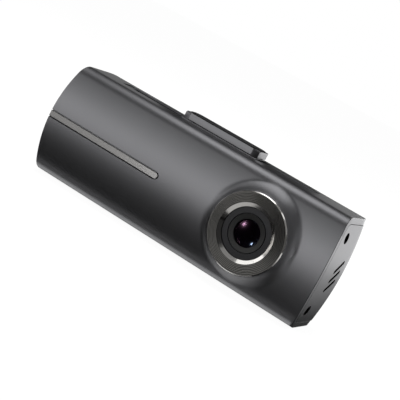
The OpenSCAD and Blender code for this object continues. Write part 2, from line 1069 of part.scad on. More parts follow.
module plunger(x) {
  in_place()
    rod_y(x, stem_y - plunger_up - plunger_in, 0, plunger_r, plunger_up + plunger_in);
}

module power_plunger() {
  color("#2a2a2c")
    plunger(button_xs[0]);
}

module lock_plunger() {
  color("#2a2a2c")
    plunger(button_xs[1]);
}

module wifi_plunger() {
  color("#2a2a2c")
    plunger(button_xs[2]);
}

module status_leds() {
  color("#e8e8d8") in_place()
    for (x = button_xs)
      block(x - 0.8, x + 0.8, board_back, board_back + led_h, led_z - 0.5, led_z + 0.5);
}

module light_pipes() {
  color("#dfe6ea") in_place()
    for (x = button_xs)
      rod_y(
        x, board_back + led_h, led_z, pipe_r,
        back_y(led_z + pipe_r, 0) - board_back - led_h - 0.05
      );
}

module top_rail() {
  color("#2b2b2e") in_place()
    difference() {
      union() {
        block(
          rail_x - rail_l / 2, rail_x + rail_l / 2, rail_y - rail_w / 2, rail_y + rail_w / 2,
          hh - rail_depth, hh - rail_sink
        );
        block(
          rail_x - rail_l / 2 - rail_flange, rail_x + rail_l / 2 + rail_flange,
          rail_y - rail_w / 2 - rail_flange, rail_y + rail_w / 2 + rail_flange,
          inner_h - rail_flange_t, inner_h
        );
      }
      block(slot_x0, slot_x1, rail_y - neck_w / 2, rail_y + neck_w / 2, hh - rail_sink - lip_t - 0.1, hh + 1);
      block(
        slot_x0, slot_x1, rail_y - head_w / 2, rail_y + head_w / 2,
        hh - rail_sink - lip_t - head_room, hh - rail_sink - lip_t
      );
      block(
        slot_x0, slot_x0 + foot_l + 2 * foot_gap, rail_y - head_w / 2, rail_y + head_w / 2,
        hh - rail_sink - lip_t - 0.1, hh + 1
      );
    }
}

module mount_shoe() {
  foot_top = hh - rail_sink - lip_t - foot_gap;
  foot_low = hh - rail_sink - lip_t - head_room + foot_gap;
  ear_x = bracket_half - ear_l;
  color("#3a3a3d") in_place()
    translate([bracket_x, 0, 0])
      difference() {
        union() {
          block(
            -foot_l / 2, foot_l / 2, rail_y - head_w / 2 + foot_gap, rail_y + head_w / 2 - foot_gap,
            foot_low, foot_top
          );
          block(
            -foot_l / 2, foot_l / 2, rail_y - neck_w / 2 + foot_gap, rail_y + neck_w / 2 - foot_gap,
            foot_low + 0.5, base_z + base_t - 0.2
          );
          block(
            -bracket_half, bracket_half, plate_y0 - base_lip, plate_y1 - 1,
            base_z, base_z + base_t
          );
          both_ends()
            block(ear_x, bracket_half, plate_y0, plate_y0 + ear_d, base_z, hh + plate_top);
        }
        rod_x(-pin_half - 0.1, hinge_y, hinge_z, pin_r + 0.02, 2 * pin_half + 0.2);
      }
}

module hinge_pin() {
  color("#b9bcc0") in_place()
    rod_x(bracket_x - pin_half, hinge_y, hinge_z, pin_r, 2 * pin_half);
}

module mount_plate() {
  notch_x = bracket_half - ear_l - ear_gap;
  color("#86868a") in_place()
    translate([bracket_x, 0, 0])
      difference() {
        block(-bracket_half, bracket_half, plate_y0, plate_y1, hh + plate_low, hh + plate_top);
        both_ends()
          block(notch_x, far, -far, plate_y0 + notch_d, hh, hh + far);
        rod_x(-far / 2, hinge_y, hinge_z, pin_r + 0.05, far);
        difference() {
          block(-far, far, plate_y0 - 1, hinge_y, hh, hinge_z);
          rod_x(-far - 1, hinge_y, hinge_z, turn_r, 2 * far + 2);
        }
      }
}

module adhesive_pad() {
  y0 = plate_y0 + 0.5;
  y1 = plate_y1 - 0.5;
  step_y = plate_y0 + notch_d + 0.4;
  step_x = bracket_half - ear_l - ear_gap - 0.4;
  half = bracket_half - 0.5;
  color("#141416") in_place()
    translate([bracket_x, 0, hh + plate_top])
      linear_extrude(pad_t)
        polygon([
          [-step_x, y0],
          [step_x, y0],
          [step_x, step_y],
          [half, step_y],
          [half, y1],
          [-half, y1],
          [-half, step_y],
          [-step_x, step_y]
        ]);
}

front_shell();
rear_cover();
left_end_cap();
right_end_cap();
end_cap_screws();
accent_strip();
lens_ring();
lens_gasket();
lens_barrel();
lens_retainer();
front_element();
aperture_disc();
rear_element();
lens_holder();
lens_holder_screws();
ir_filter();
image_sensor();
sensor_board();
sensor_board_screws();
ribbon_connectors();
sensor_ribbon();
heat_frame();
heat_frame_screws();
main_board();
main_board_screws();
processor();
memory_chip();
thermal_pad();
supercapacitors();
wifi_module();
usb_socket();
usb_tongue();
card_socket();
memory_card();
microphone();
microphone_boot();
speaker_frame();
speaker_cone();
speaker_gasket();
switch_bodies();
power_button();
lock_button();
wifi_button();
power_plunger();
lock_plunger();
wifi_plunger();
status_leds();
light_pipes();
top_rail();
mount_shoe();
hinge_pin();
mount_plate();
adhesive_pad();
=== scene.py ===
import json
import math

import bmesh
import bpy
from mathutils import Matrix, Vector


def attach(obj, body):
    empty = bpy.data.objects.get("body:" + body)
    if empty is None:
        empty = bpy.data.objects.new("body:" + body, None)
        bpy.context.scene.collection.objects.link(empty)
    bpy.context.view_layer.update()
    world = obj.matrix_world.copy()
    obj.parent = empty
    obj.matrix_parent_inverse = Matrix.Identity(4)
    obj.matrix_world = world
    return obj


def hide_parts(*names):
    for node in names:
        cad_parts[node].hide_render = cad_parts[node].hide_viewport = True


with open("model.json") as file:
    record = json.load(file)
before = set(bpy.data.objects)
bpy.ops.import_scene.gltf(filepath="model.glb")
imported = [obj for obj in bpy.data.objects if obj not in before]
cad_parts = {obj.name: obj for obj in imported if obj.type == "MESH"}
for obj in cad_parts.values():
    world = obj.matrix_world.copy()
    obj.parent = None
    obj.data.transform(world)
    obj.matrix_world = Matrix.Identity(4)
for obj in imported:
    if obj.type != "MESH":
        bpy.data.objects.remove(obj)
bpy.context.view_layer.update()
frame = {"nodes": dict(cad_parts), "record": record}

# All sizes are in millimetres, in the casing's own frame: crown of the front at y 0, mid height at z 0
# Casing and back cover: crowned front, back and ends, with a wall of one thickness
HALF_L, HALF_H, DEPTH, WALL = 53.0, 19.0, 26.0, 2.0
FRONT_R, REAR_R = 44.0, 78.0
TOP_FILLET, LOW_FILLET = 5.0, 4.5
END_CROWN, END_FROM, REAR_ROUND = 1.7, 46.0, 5.2
END_R = (HALF_H**2 + END_CROWN**2) / (2 * END_CROWN)
COVER_HALF, COVER_HIGH = 46.4, 16.9
# Opening for the rail in the top, and the strip in its groove in the front
RAIL_X0, RAIL_X1, RAIL_Y0, RAIL_Y1 = -41.1, 35.1, 13.0, 19.8
STRIP_Z, STRIP_TIP, STRIP_R, STRIP_GAP, STRIP_D = 0.15, -9.3, 1.0, 0.3, 1.0
# End caps with their screws
CAP_EDGE, CAP_IN, CAP_LIP, LIP_Y = 2.1, 49.3, 46.5, 21.6
SCREWS_YZ = ((8.5, -12.5), (8.5, 12.5))
HEAD_R, HEAD_H, RECESS_R = 1.65, 1.0, 1.8
SHANK_R, SHANK_L, BORE_R = 0.95, 7.0, 1.05
CROSS_REACH, CROSS_HALF = 0.9, 0.2
# Slanted slots of the right-hand cap, power inlet and card slot of the left-hand one
SLOT_L, SLOT_W, SLOT_PITCH, SLOT_SLANT = 7.0, 1.45, 3.25, math.radians(34)
SLOT_Y, SLOT_Z, SLOT_STEP = 14.6, -0.3, 0.1
INLET_L, INLET_W, INLET_Y, INLET_Z = 9.34, 3.66, 15.77, -7.5
CARD_Y0, CARD_Y1, CARD_Z0, CARD_Z1 = 15.7, 17.3, -0.7, 11.1
DIP_Y0, DIP_Y1, DIP_Z0, DIP_Z1, DIP_D = 14.9, 18.1, 2.2, 8.2, 1.6
# Lens: boss of the casing, trim ring, front glass and inner lens
LENS_X, BOSS_FOOT, BOSS_TOP, BOSS_Y, BOSS_BORE = 27.4, 16.5, 12.95, -2.55, 10.4
RING_R, RING_BACK, RING_SHOULDER = 12.9, -1.7, -2.62
RING_EDGE, RING_EDGE_Y, RING_OUT, RING_IN = 12.66, -2.98, 12.56, 9.3
RING_LOW_Y, RING_SLOPE, RING_GROOVES, GROOVE_D = -3.0, -0.19, 7, 0.1
FUNNEL_R, FUNNEL_Y = 8.15, -2.78
GLASS_Y, GLASS_R, GLASS_RIM, GLASS_SEAT = -3.3, 6.7, 4.3, -1.7
BACK_Y, BACK_R, WELL_R, WELL_Y = 0.6, 7.0, 2.5, 0.6
INNER_Y, INNER_R, INNER_RIM = -0.2, 1.9, 1.5
# Windscreen bracket: plate, hinge ears, shoe with its lip, neck and foot, pin and pad
BRACKET_X, BRACKET_HALF, BRACKET_Y0, BRACKET_Y1 = -1.0, 14.5, 11.8, 21.0
PLATE_LOW, EAR_TOP, PLATE_TOP = 19.55, 21.5, 21.75
HINGE_IN, HINGE_UP, TURN_R = 0.75, 0.95, 1.18
EAR_L, EAR_R, EAR_GAP, EAR_SLANT = 2.2, 1.1, 0.06, 0.9
LIP_OUT, LIP_H = 0.75, 0.38
SHOE_HALF, NECK_Y0, NECK_Y1, NECK_LOW = 12.0, 14.9, 17.9, 17.0
FOOT_Y0, FOOT_Y1, FOOT_LOW, FOOT_TOP = 14.0, 18.8, 16.7, 17.7
PIN_R, PIN_HOLD = 0.4, 0.4
PAD_T, PAD_IN, PAD_STEP, PAD_EAR = 0.25, 0.5, 2.8, 0.6
# Keys on the back with their flanges and stems, light pipes over them, and the microphone hole
KEY_XS, KEY_L, KEY_W, KEY_GAP = (-14.0, 0.0, 14.0), 9.0, 4.4, 0.3
KEY_Y, KEY_D, FLANGE, FLANGE_Y, FLANGE_D = 23.4, 2.45, 1.0, 22.8, 0.8
STEM_R, STEM_Y, STEM_D = 1.5, 21.95, 2.1
PIPE_R, PIPE_GAP, PIPE_Y, PIPE_Z, PIPE_L = 0.8, 0.1, 22.45, 6.0, 6.3
MIC_X, MIC_Z, MIC_R = 27.0, -9.0, 0.6
# From the casing's frame in millimetres to the part's frame in metres
TO_PART = Matrix.Scale(0.001, 4) @ Matrix.Translation((0, -11.2, HALF_H))


def fillet_y(f):
    """Depth of the centre of a front fillet of radius f."""
    return FRONT_R - math.sqrt((FRONT_R - f) ** 2 - (HALF_H - f) ** 2)


def front_y(z, inset=0.0):
    """Depth of the front with its fillets, or of a face inset from it, at height z."""
    f = TOP_FILLET if z > 0 else LOW_FILLET
    yc, zc = fillet_y(f), HALF_H - f
    if abs(z) > zc * (FRONT_R - inset) / (FRONT_R - f):
        return yc - math.sqrt(max((f - inset) ** 2 - (abs(z) - zc) ** 2, 0.0))
    return FRONT_R - math.sqrt((FRONT_R - inset) ** 2 - z * z)


def rear_y(z):
    """Depth of the crowned back at height z."""
    return DEPTH - REAR_R + math.sqrt(REAR_R**2 - z * z)


def end_x(y, z):
    """Half length of the body at a point: crowned ends with a rounded back edge."""
    back = max(y - (DEPTH - REAR_ROUND), 0.0)
    r = END_R - REAR_ROUND + math.sqrt(max(REAR_ROUND**2 - back**2, 0.0))
    return HALF_L - END_R + math.sqrt(r * r - z * z)


def lens_r(p):
    """Distance of a point from the lens axis."""
    return math.hypot(p.x - LENS_X, p.z)


def of_kind(out, kind):
    """The vertices or edges among what an operator made."""
    return [g for g in out["geom"] if isinstance(g, kind)]


def arc(bm, vert, centre, turn, steps, axis=(1, 0, 0)):
    """Carries a vertex round a centre, leaving an edge behind each step."""
    out = bmesh.ops.spin(
        bm, geom=[vert], cent=centre, axis=axis, dvec=(0, 0, 0), angle=turn, steps=steps, use_merge=False
    )
    return out["geom_last"][0]


def run(bm, vert, move, steps=1):
    """Carries a vertex straight on in equal steps."""
    for _ in range(steps):
        vert = bmesh.ops.extrude_vert_indiv(bm, verts=[vert])["verts"][0]
        bmesh.ops.translate(bm, verts=[vert], vec=Vector(move) / steps)
    return vert


def sweep(bm, edges, stops, axis=0):
    """Carries an outline along an axis through the stops, leaving a wall behind."""
    for here, there in zip(stops, stops[1:]):
        out = bmesh.ops.extrude_edge_only(bm, edges=edges)
        move = Vector()
        move[axis] = there - here
        bmesh.ops.translate(bm, verts=of_kind(out, bmesh.types.BMVert), vec=move)
        edges = of_kind(out, bmesh.types.BMEdge)


def spread(a, b, n):
    """n equal steps from a to b, without a itself."""
    return [a + (b - a) * (i + 1) / n for i in range(n)]


def close_ends(bm):
    """Fills the open ends of a swept outline."""
    bmesh.ops.holes_fill(bm, edges=[e for e in bm.edges if e.is_boundary])


def thicken(bm, faces, move):
    """Pushes faces along, with walls at their border, and drops the ones left behind."""
    out = bmesh.ops.extrude_face_region(bm, geom=faces)
    bmesh.ops.delete(bm, geom=faces, context="FACES_KEEP_BOUNDARY")
    verts = of_kind(out, bmesh.types.BMVert)
    bmesh.ops.translate(bm, verts=verts, vec=move)
    return verts


def prism(bm, outline, move):
    """A closed solid from an outline of corner points, pushed along a vector."""
    face = bm.faces.new([bm.verts.new(p) for p in outline])
    out = bmesh.ops.extrude_face_region(bm, geom=[face])
    bmesh.ops.translate(bm, verts=of_kind(out, bmesh.types.BMVert), vec=move)


def slab(bm, low, high):
    """A block between two corners."""
    size = Vector(high) - Vector(low)
    place = Matrix.Translation((Vector(low) + Vector(high)) / 2) @ Matrix.Diagonal((*size, 1))
    bmesh.ops.create_cube(bm, size=1, matrix=place)


def rod(bm, radius, depth, centre, axis, segments=32):
    """A round rod about a centre, laid down by a quarter turn about the axis."""
    at = Matrix.Translation(centre) @ Matrix.Rotation(math.pi / 2, 4, axis)
    bmesh.ops.create_cone(
        bm, cap_ends=True, segments=segments, radius1=radius, radius2=radius, depth=depth, matrix=at
    )


def bar(bm, length, width, depth, place, steps=12):
    """A bar with round ends: length along x, width along z, standing on y 0, put in place by a matrix."""
    half = (length - width) / 2
    vert = first = bm.verts.new((-half, 0, -width / 2))
    vert = run(bm, vert, (2 * half, 0, 0))
    vert = arc(bm, vert, (half, 0, 0), -math.pi, steps, (0, 1, 0))
    vert = run(bm, vert, (-2 * half, 0, 0))
    last = arc(bm, vert, (-half, 0, 0), -math.pi * (steps - 1) / steps, steps - 1, (0, 1, 0))
    closing = bm.edges.new((last, first))
    loop, edge, vert = [], closing, first
    while True:
        loop.append(vert)
        edge = [e for e in vert.link_edges if e is not edge][0]
        vert = edge.other_vert(vert)
        if vert is first:
            break
    face = bm.faces.new(loop)
    out = bmesh.ops.extrude_face_region(bm, geom=[face])
    far = of_kind(out, bmesh.types.BMVert)
    bmesh.ops.translate(bm, verts=far, vec=(0, depth, 0))
    bmesh.ops.transform(bm, matrix=place, verts=loop + far)


def endwise(x, y, z, along):
    """Turns a bar so that its length runs along one direction and its depth along x."""
    a, b = Vector(along).normalized(), Vector((1, 0, 0))
    turn = Matrix((a, b, a.cross(b))).transposed().to_4x4()
    return Matrix.Translation((x, y, z)) @ turn


def spun(bm, steps=96):
    """Spins a profile about the lens axis into a closed solid."""
    bmesh.ops.spin(
        bm, geom=bm.verts[:] + bm.edges[:], cent=(LENS_X, 0, 0), axis=(0, 1, 0), dvec=(0, 0, 0),
        angle=2 * math.pi, steps=steps, use_merge=True,
    )
    bmesh.ops.remove_doubles(bm, verts=bm.verts, dist=0.0005)
    bmesh.ops.recalc_face_normals(bm, faces=bm.faces)
    return bm


def turned(profile, steps=192):
    """A closed ring turned about the lens axis from corner points of radius and depth."""
    bm = bmesh.new()
    verts = [bm.verts.new((LENS_X + r, y, 0)) for r, y in profile]
    for a, b in zip(verts, verts[1:] + verts[:1]):
        bm.edges.new((a, b))
    return spun(bm, steps)


def lens_arc(bm, vert, centre, reach, start=0.0):
    """Carries a vertex along a lens surface about a centre on the axis: start and reach are sines."""
    turn = math.asin(abs(reach)) - math.asin(start)
    return arc(bm, vert, (LENS_X, centre, 0), math.copysign(turn, reach), 24, (0, 0, 1))


def ease(bm, edges, offset, segments=2):
    """Takes the sharpness off edges."""
    bmesh.ops.bevel(
        bm, geom=edges, offset=offset, offset_type="OFFSET", segments=segments, profile=0.5,
        affect="EDGES", clamp_overlap=True, material=-1,
    )


def sharp_edges(bm, degrees, where=lambda p: True):
    """Edges that turn by more than an angle, at places that pass."""
    limit = math.radians(degrees)
    return [
        e for e in bm.edges
        if len(e.link_faces) == 2 and e.calc_face_angle(0.0) > limit
        and where((e.verts[0].co + e.verts[1].co) / 2)
    ]


def cut_away(bm, cutter):
    """The first solid less the second."""
    objects = []
    for name, source in (("blank", bm), ("cutter", cutter)):
        bmesh.ops.recalc_face_normals(source, faces=source.faces)
        mesh = bpy.data.meshes.new(name)
        source.to_mesh(mesh)
        source.free()
        objects.append(bpy.data.objects.new(name, mesh))
        bpy.context.scene.collection.objects.link(objects[-1])
    blank, tool = objects
    step = blank.modifiers.new("cut", "BOOLEAN")
    step.operation, step.object, step.solver, step.use_self = "DIFFERENCE", tool, "EXACT", True
    bpy.context.view_layer.update()
    done = bmesh.new()
    done.from_object(blank, bpy.context.evaluated_depsgraph_get())
    for o in objects:
        mesh = o.data
        bpy.data.objects.remove(o)
        bpy.data.meshes.remove(mesh)
    return done


def piece(bm, name, body, nodes, slot, *finishes, sharp=20):
    """Puts a finished shape into the scene: it rides on a body and stands for CAD nodes."""
    bmesh.ops.remove_doubles(bm, verts=bm.verts, dist=0.0005)
    bmesh.ops.recalc_face_normals(bm, faces=bm.faces)
    bmesh.ops.transform(bm, matrix=TO_PART, verts=bm.verts)
    for f in bm.faces:
        f.smooth = True
    for e in sharp_edges(bm, sharp):
        e.smooth = False
    mesh = bpy.data.meshes.new(name)
    bm.to_mesh(mesh)
    bm.free()
    made = bpy.data.objects.new(name, mesh)
    bpy.context.scene.collection.objects.link(made)
    for m in finishes:
        mesh.materials.append(m)
    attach(made, body)
    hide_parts(*nodes)
    return made


def linear(code):
    """An sRGB hex colour as linear light."""
    parts = [int(code[i:i + 2], 16) / 255 for i in (1, 3, 5)]
    return [*(c / 12.92 if c <= 0.04045 else ((c + 0.055) / 1.055) ** 2.4 for c in parts), 1.0]


def add(owner, kind, settings=None, links=None):
    """Adds a node with its settings and links: a name is an input if the node has one, or else a property."""
    node = owner.node_tree.nodes.new(kind)
    for key, value in (settings or {}).items():
        if isinstance(key, int) or key in node.inputs:
            node.inputs[key].default_value = value
        else:
            setattr(node, key, value)
    for key, source in (links or {}).items():
        owner.node_tree.links.new(source, node.inputs[key])
    return node


def finish(name, **shader):
    """A new material with its shader set, and the shader node."""
    mat = bpy.data.materials.new(name)
    mat.use_nodes = True
    node = mat.node_tree.nodes["Principled BSDF"]
    for key, value in shader.items():
        node.inputs[key.replace("_", " ")].default_value = value
    return mat, node


def grained(name, dark, light, grain, rough, relief, **shader):
    """A surface with an even grain: two tones, roughness and relief follow one noise of that size in mm."""
    mat, node = finish(name, **shader)
    place = add(mat, "ShaderNodeTexCoord").outputs["Object"]
    settings = {"Scale": 1000 / grain, "Detail": 4.0, "Roughness": 0.6}
    noise = add(mat, "ShaderNodeTexNoise", settings, {"Vector": place}).outputs["Fac"]
    tone = add(mat, "ShaderNodeValToRGB", {}, {"Fac": noise})
    low, high = tone.color_ramp.elements
    low.color, low.position = linear(dark), 0.3
    high.color, high.position = linear(light), 0.7
    matt = add(mat, "ShaderNodeMapRange", {"To Min": rough[0], "To Max": rough[1]}, {"Value": noise})
    bump = add(mat, "ShaderNodeBump", {"Strength": relief, "Distance": 0.00005}, {"Height": noise})
    mat.node_tree.links.new(tone.outputs["Color"], node.inputs["Base Color"])
    mat.node_tree.links.new(matt.outputs["Result"], node.inputs["Roughness"])
    mat.node_tree.links.new(bump.outputs["Normal"], node.inputs["Normal"])
    return mat


# Casing: aluminium, bead blasted and anodised mid grey. Soft, wide highlights with a very fine sparkle.
casing_grey, shader = finish("bead_blasted_anodised_aluminium", Metallic=1.0)
place = add(casing_grey, "ShaderNodeTexCoord").outputs["Object"]
# Beads of about 0.12 mm leave the dimples, drawn at 0.25 mm so that they still show in the render
dimples = add(
    casing_grey, "ShaderNodeTexNoise", {"Scale": 4000.0, "Detail": 2.0, "Roughness": 0.5}, {"Vector": place}
).outputs["Fac"]
# The bath leaves slow clouds of about 15 mm in the grey
clouds = add(casing_grey, "ShaderNodeTexNoise", {"Scale": 66.0, "Detail": 3.0}, {"Vector": place})
tone = add(
    casing_grey, "ShaderNodeMix", {"data_type": "RGBA", 6: linear("#606062"), 7: linear("#646466")},
    {"Factor": clouds.outputs["Fac"]},
)
matt = add(casing_grey, "ShaderNodeMapRange", {"To Min": 0.37, "To Max": 0.43}, {"Value": dimples})
relief = add(casing_grey, "ShaderNodeBump", {"Strength": 0.06, "Distance": 0.00003}, {"Height": dimples})
casing_grey.node_tree.links.new(tone.outputs[2], shader.inputs["Base Color"])
casing_grey.node_tree.links.new(matt.outputs["Result"], shader.inputs["Roughness"])
casing_grey.node_tree.links.new(relief.outputs["Normal"], shader.inputs["Normal"])

# Bevels at the casing's ends: painted shade. A dark grey stands in for the shade in the seam between the
# casing and the end cap, and takes the highlight off these bevels.
end_edge_painted_shade = grained("painted_shade_end_bevel", "#2c2c2d", "#323233", 0.3, (0.45, 0.55), 0.02, Metallic=1.0)
# End caps: moulded ABS with metallic paint. The casing's grey, with a slightly coarser grain.
cap_grey = grained("moulded_abs_metallic_paint", "#606062", "#646466", 0.3, (0.37, 0.43), 0.03, Metallic=1.0)
# Back cover: moulded ABS. Matt, with a fine grain and none of the metal's glint.
cover_grey = grained("moulded_abs_mid_grey", "#5c5c5f", "#626265", 0.3, (0.45, 0.55), 0.15)
# Strip: aluminium, satin anodised. A little lighter than the casing, with a tighter sheen.
strip_metal = grained("satin_anodised_strip", "#6b6a69", "#71706f", 0.2, (0.3, 0.36), 0.03, Metallic=1.0)
# Face of the ring: aluminium, turned and anodised dark. A dull, warm grey that the grooves break up.
turned_dark = grained(
    "turned_dark_anodised_aluminium", "#4c4b49", "#51504e", 0.3, (0.38, 0.44), 0.02, Metallic=1.0
)
# Edges and funnel of the ring: cut bright with a diamond tool. Clear, sharp glints.
polished = grained("diamond_cut_aluminium_edge", "#c8c6c3", "#d0cecb", 0.5, (0.12, 0.16), 0.01, Metallic=1.0)
# Lens face: aluminium, anodised black. Near black and matt, so that little light strays into the lens.
lens_black = grained(
    "black_anodised_lens_face", "#1c1c1e", "#222224", 0.2, (0.45, 0.55), 0.05, Specular_IOR_Level=0.25
)
# Retainer: the same finish, a shade darker, which sets it off from the lens face
retainer_black = grained(
    "black_anodised_retainer", "#181818", "#1d1d1c", 0.2, (0.45, 0.55), 0.05, Specular_IOR_Level=0.25
)
# Lens glass: polished and coated. Clear, but for the violet light that its coating throws back.
coated_glass, shader = finish("coated_front_glass", Metallic=1.0, Roughness=0.25, Alpha=0.06)
shader.inputs["Base Color"].default_value = linear("#ffc4ee")
# Back of the glass, over the blackened barrel. Black, with a bluish mirror in its coating.
coated_back, shader = finish("coated_glass_back", Roughness=0.12, Specular_Tint=linear("#b8d4ff"))
shader.inputs["Base Color"].default_value = linear("#060408")
# Inner lens: polished glass. A small dark mirror, deep in the barrel.
inner_mirror, shader = finish("polished_inner_glass", Roughness=0.04)
shader.inputs["Base Color"].default_value = linear("#040305")
# Bracket: moulded ABS with a metal flake in it. Smooth, with the casing's soft highlights.
bracket_grey = grained("moulded_abs_bracket", "#616163", "#636365", 0.25, (0.38, 0.42), 0.008, Metallic=1.0)
# Pad: acrylic foam tape. Black and quite dull, with open cells.
foam_black = grained(
    "acrylic_foam_tape", "#1c1c1d", "#262627", 0.15, (0.8, 0.95), 0.5, Specular_IOR_Level=0.1
)
# Rail: moulded nylon. Black, with a low sheen.
rail_black = grained("moulded_nylon_rail", "#232325", "#2a2a2c", 0.2, (0.4, 0.5), 0.2)
# Keys: moulded ABS. Matt and darker than the cover, so that they stand out from it.
key_grey = grained("moulded_abs_keys", "#38383a", "#3e3e40", 0.2, (0.45, 0.55), 0.2)
# Screws: steel, black oxide. Near black, with a dull glint of metal.
black_steel = grained("black_oxide_steel", "#161617", "#1f1f20", 0.1, (0.35, 0.5), 0.1, Metallic=1.0)
# Walls of the recesses and slots: painted shade. Near black and matt in place of the shade that falls inside
# them, so that they read as holes.
recess_painted_shade = grained(
    "painted_shade_recess_walls", "#060606", "#0a0a0a", 0.2, (0.8, 0.9), 0.1, Specular_IOR_Level=0.1
)
# Light pipes: moulded acrylic. Pale and glossy, as unlit pipes look from outside.
clear_plastic = grained("clear_acrylic_light_pipe", "#c9d0d4", "#d3d9dc", 0.5, (0.1, 0.15), 0.02)
# Pin and other steel: nickel plated. Bright and slightly warm.
plated_steel = grained("nickel_plated_steel", "#b9b8b4", "#c4c3bf", 0.2, (0.22, 0.32), 0.05, Metallic=1.0)


def casing():
    """Front, top and bottom of the casing in one wall, with the boss, the groove and the rail's opening."""
    bm = bmesh.new()
    groove = STRIP_R + STRIP_GAP
    low = math.asin((HALF_H - LOW_FILLET) / (FRONT_R - LOW_FILLET))
    high = math.asin((HALF_H - TOP_FILLET) / (FRONT_R - TOP_FILLET))
    under, over = (math.asin((STRIP_Z + s * groove) / FRONT_R) for s in (-1, 1))
    x, back = -HALF_L, rear_y(HALF_H)
    vert = bm.verts.new((x, back, -HALF_H))
    vert = run(bm, vert, (0, fillet_y(LOW_FILLET) - back, 0), 6)
    vert = arc(bm, vert, (x, fillet_y(LOW_FILLET), LOW_FILLET - HALF_H), low - math.pi / 2, 14)
    vert = arc(bm, vert, (x, FRONT_R, 0), -low - under, 34)
    vert = arc(bm, vert, (x, FRONT_R, 0), under - over, 8)
    vert = arc(bm, vert, (x, FRONT_R, 0), over - high, 32)
    vert = arc(bm, vert, (x, fillet_y(TOP_FILLET), HALF_H - TOP_FILLET), high - math.pi / 2, 14)
    for stop, steps in ((RAIL_Y0, 5), (RAIL_Y1, 4), (back, 3)):
        vert = run(bm, vert, (0, stop - vert.co.y, 0), steps)
    # Close steps where the boss is, wider ones elsewhere
    stops = [-HALF_L, -51.5, -50.0, -48.0, -46.0, -43.5]
    stops += spread(-43.5, RAIL_X0, 1) + spread(RAIL_X0, STRIP_TIP, 15) + spread(STRIP_TIP, 9.0, 8)
    stops += spread(9.0, RAIL_X1, 58) + spread(RAIL_X1, 45.9, 24) + spread(45.9, HALF_L, 6)
    sweep(bm, bm.edges[:], stops)
    gone = []
    for f in bm.faces:
        c = f.calc_center_median()
        in_rail = c.z > HALF_H - 0.1 and RAIL_X0 < c.x < RAIL_X1 and RAIL_Y0 < c.y < RAIL_Y1
        if in_rail or (c.y < 6 and lens_r(c) < BOSS_BORE):
            gone.append(f)
    bmesh.ops.delete(bm, geom=gone, context="FACES")
    bmesh.ops.recalc_face_normals(bm, faces=bm.faces)
    if min(bm.faces, key=lambda f: f.calc_center_median().y).normal.y > 0:
        bmesh.ops.reverse_faces(bm, faces=bm.faces)
    for v in bm.verts:
        r = lens_r(v.co)
        # The boss rises from a soft foot and steepens towards the ring, round a true bore
        if v.co.y < 8 and r < BOSS_FOOT:
            t = min((BOSS_FOOT - r) / (BOSS_FOOT - BOSS_TOP), 1.0)
            v.co.y += (BOSS_Y - v.co.y) * (0.75 * t**1.6 + 0.25 * t**5)
            if v.is_boundary and r < 12:
                v.co.x = LENS_X + (v.co.x - LENS_X) * BOSS_BORE / r
                v.co.z = v.co.z * BOSS_BORE / r
        # The groove ends in a half round
        off = abs(v.co.z - STRIP_Z)
        if v.co.y < 1 and abs(v.co.x - STRIP_TIP) < 0.01 and off < groove:
            v.co.x += math.sqrt(groove**2 - off**2)
    bmesh.ops.solidify(bm, geom=bm.faces[:], thickness=WALL)
    bed = []
    for f in bm.faces:
        c = f.calc_center_median()
        if c.y < 0.5 and c.x < STRIP_TIP - 0.1 and abs(c.z - STRIP_Z) < groove and f.normal.y < -0.9:
            bed.append(f)
    sunk = thicken(bm, bed, (0, STRIP_D, 0))
    # The groove runs out through the left-hand end
    mouth = [
        v for v in bm.verts
        if v.co.y < 0.5 and v.co.x < 0.01 - HALF_L and abs(v.co.z - STRIP_Z) < groove - 0.01
    ]
    pairs = {v: min(sunk, key=lambda w: (w.co - v.co).length) for v in mouth}
    bmesh.ops.weld_verts(bm, targetmap=pairs)
    for v in bm.verts:
        if abs(v.co.x) > END_FROM:
            reach = (abs(v.co.x) - END_FROM) / (HALF_L - END_FROM)
            v.co.x = math.copysign(END_FROM + reach * (end_x(v.co.y, v.co.z) - END_FROM), v.co.x)
    ease(bm, sharp_edges(bm, 50, lambda p: lens_r(p) > 12 or p.y > 8), 0.2)
    # The outer bevels of the ends and the lower inner ones get the painted shade, dark where they would catch
    # the light
    for f in bm.faces:
        c = f.calc_center_median()
        outer = c.y < min(front_y(c.z) + 0.25, 8)
        if abs(c.x) > 50 and 0.2 < abs(f.normal.x) < 0.95 and (outer or c.z < -16 and f.normal.z > 0.2):
            f.material_index = 1
    piece(bm, "casing_front", "housing", ["front_shell"], "shell_grey", casing_grey, end_edge_painted_shade)


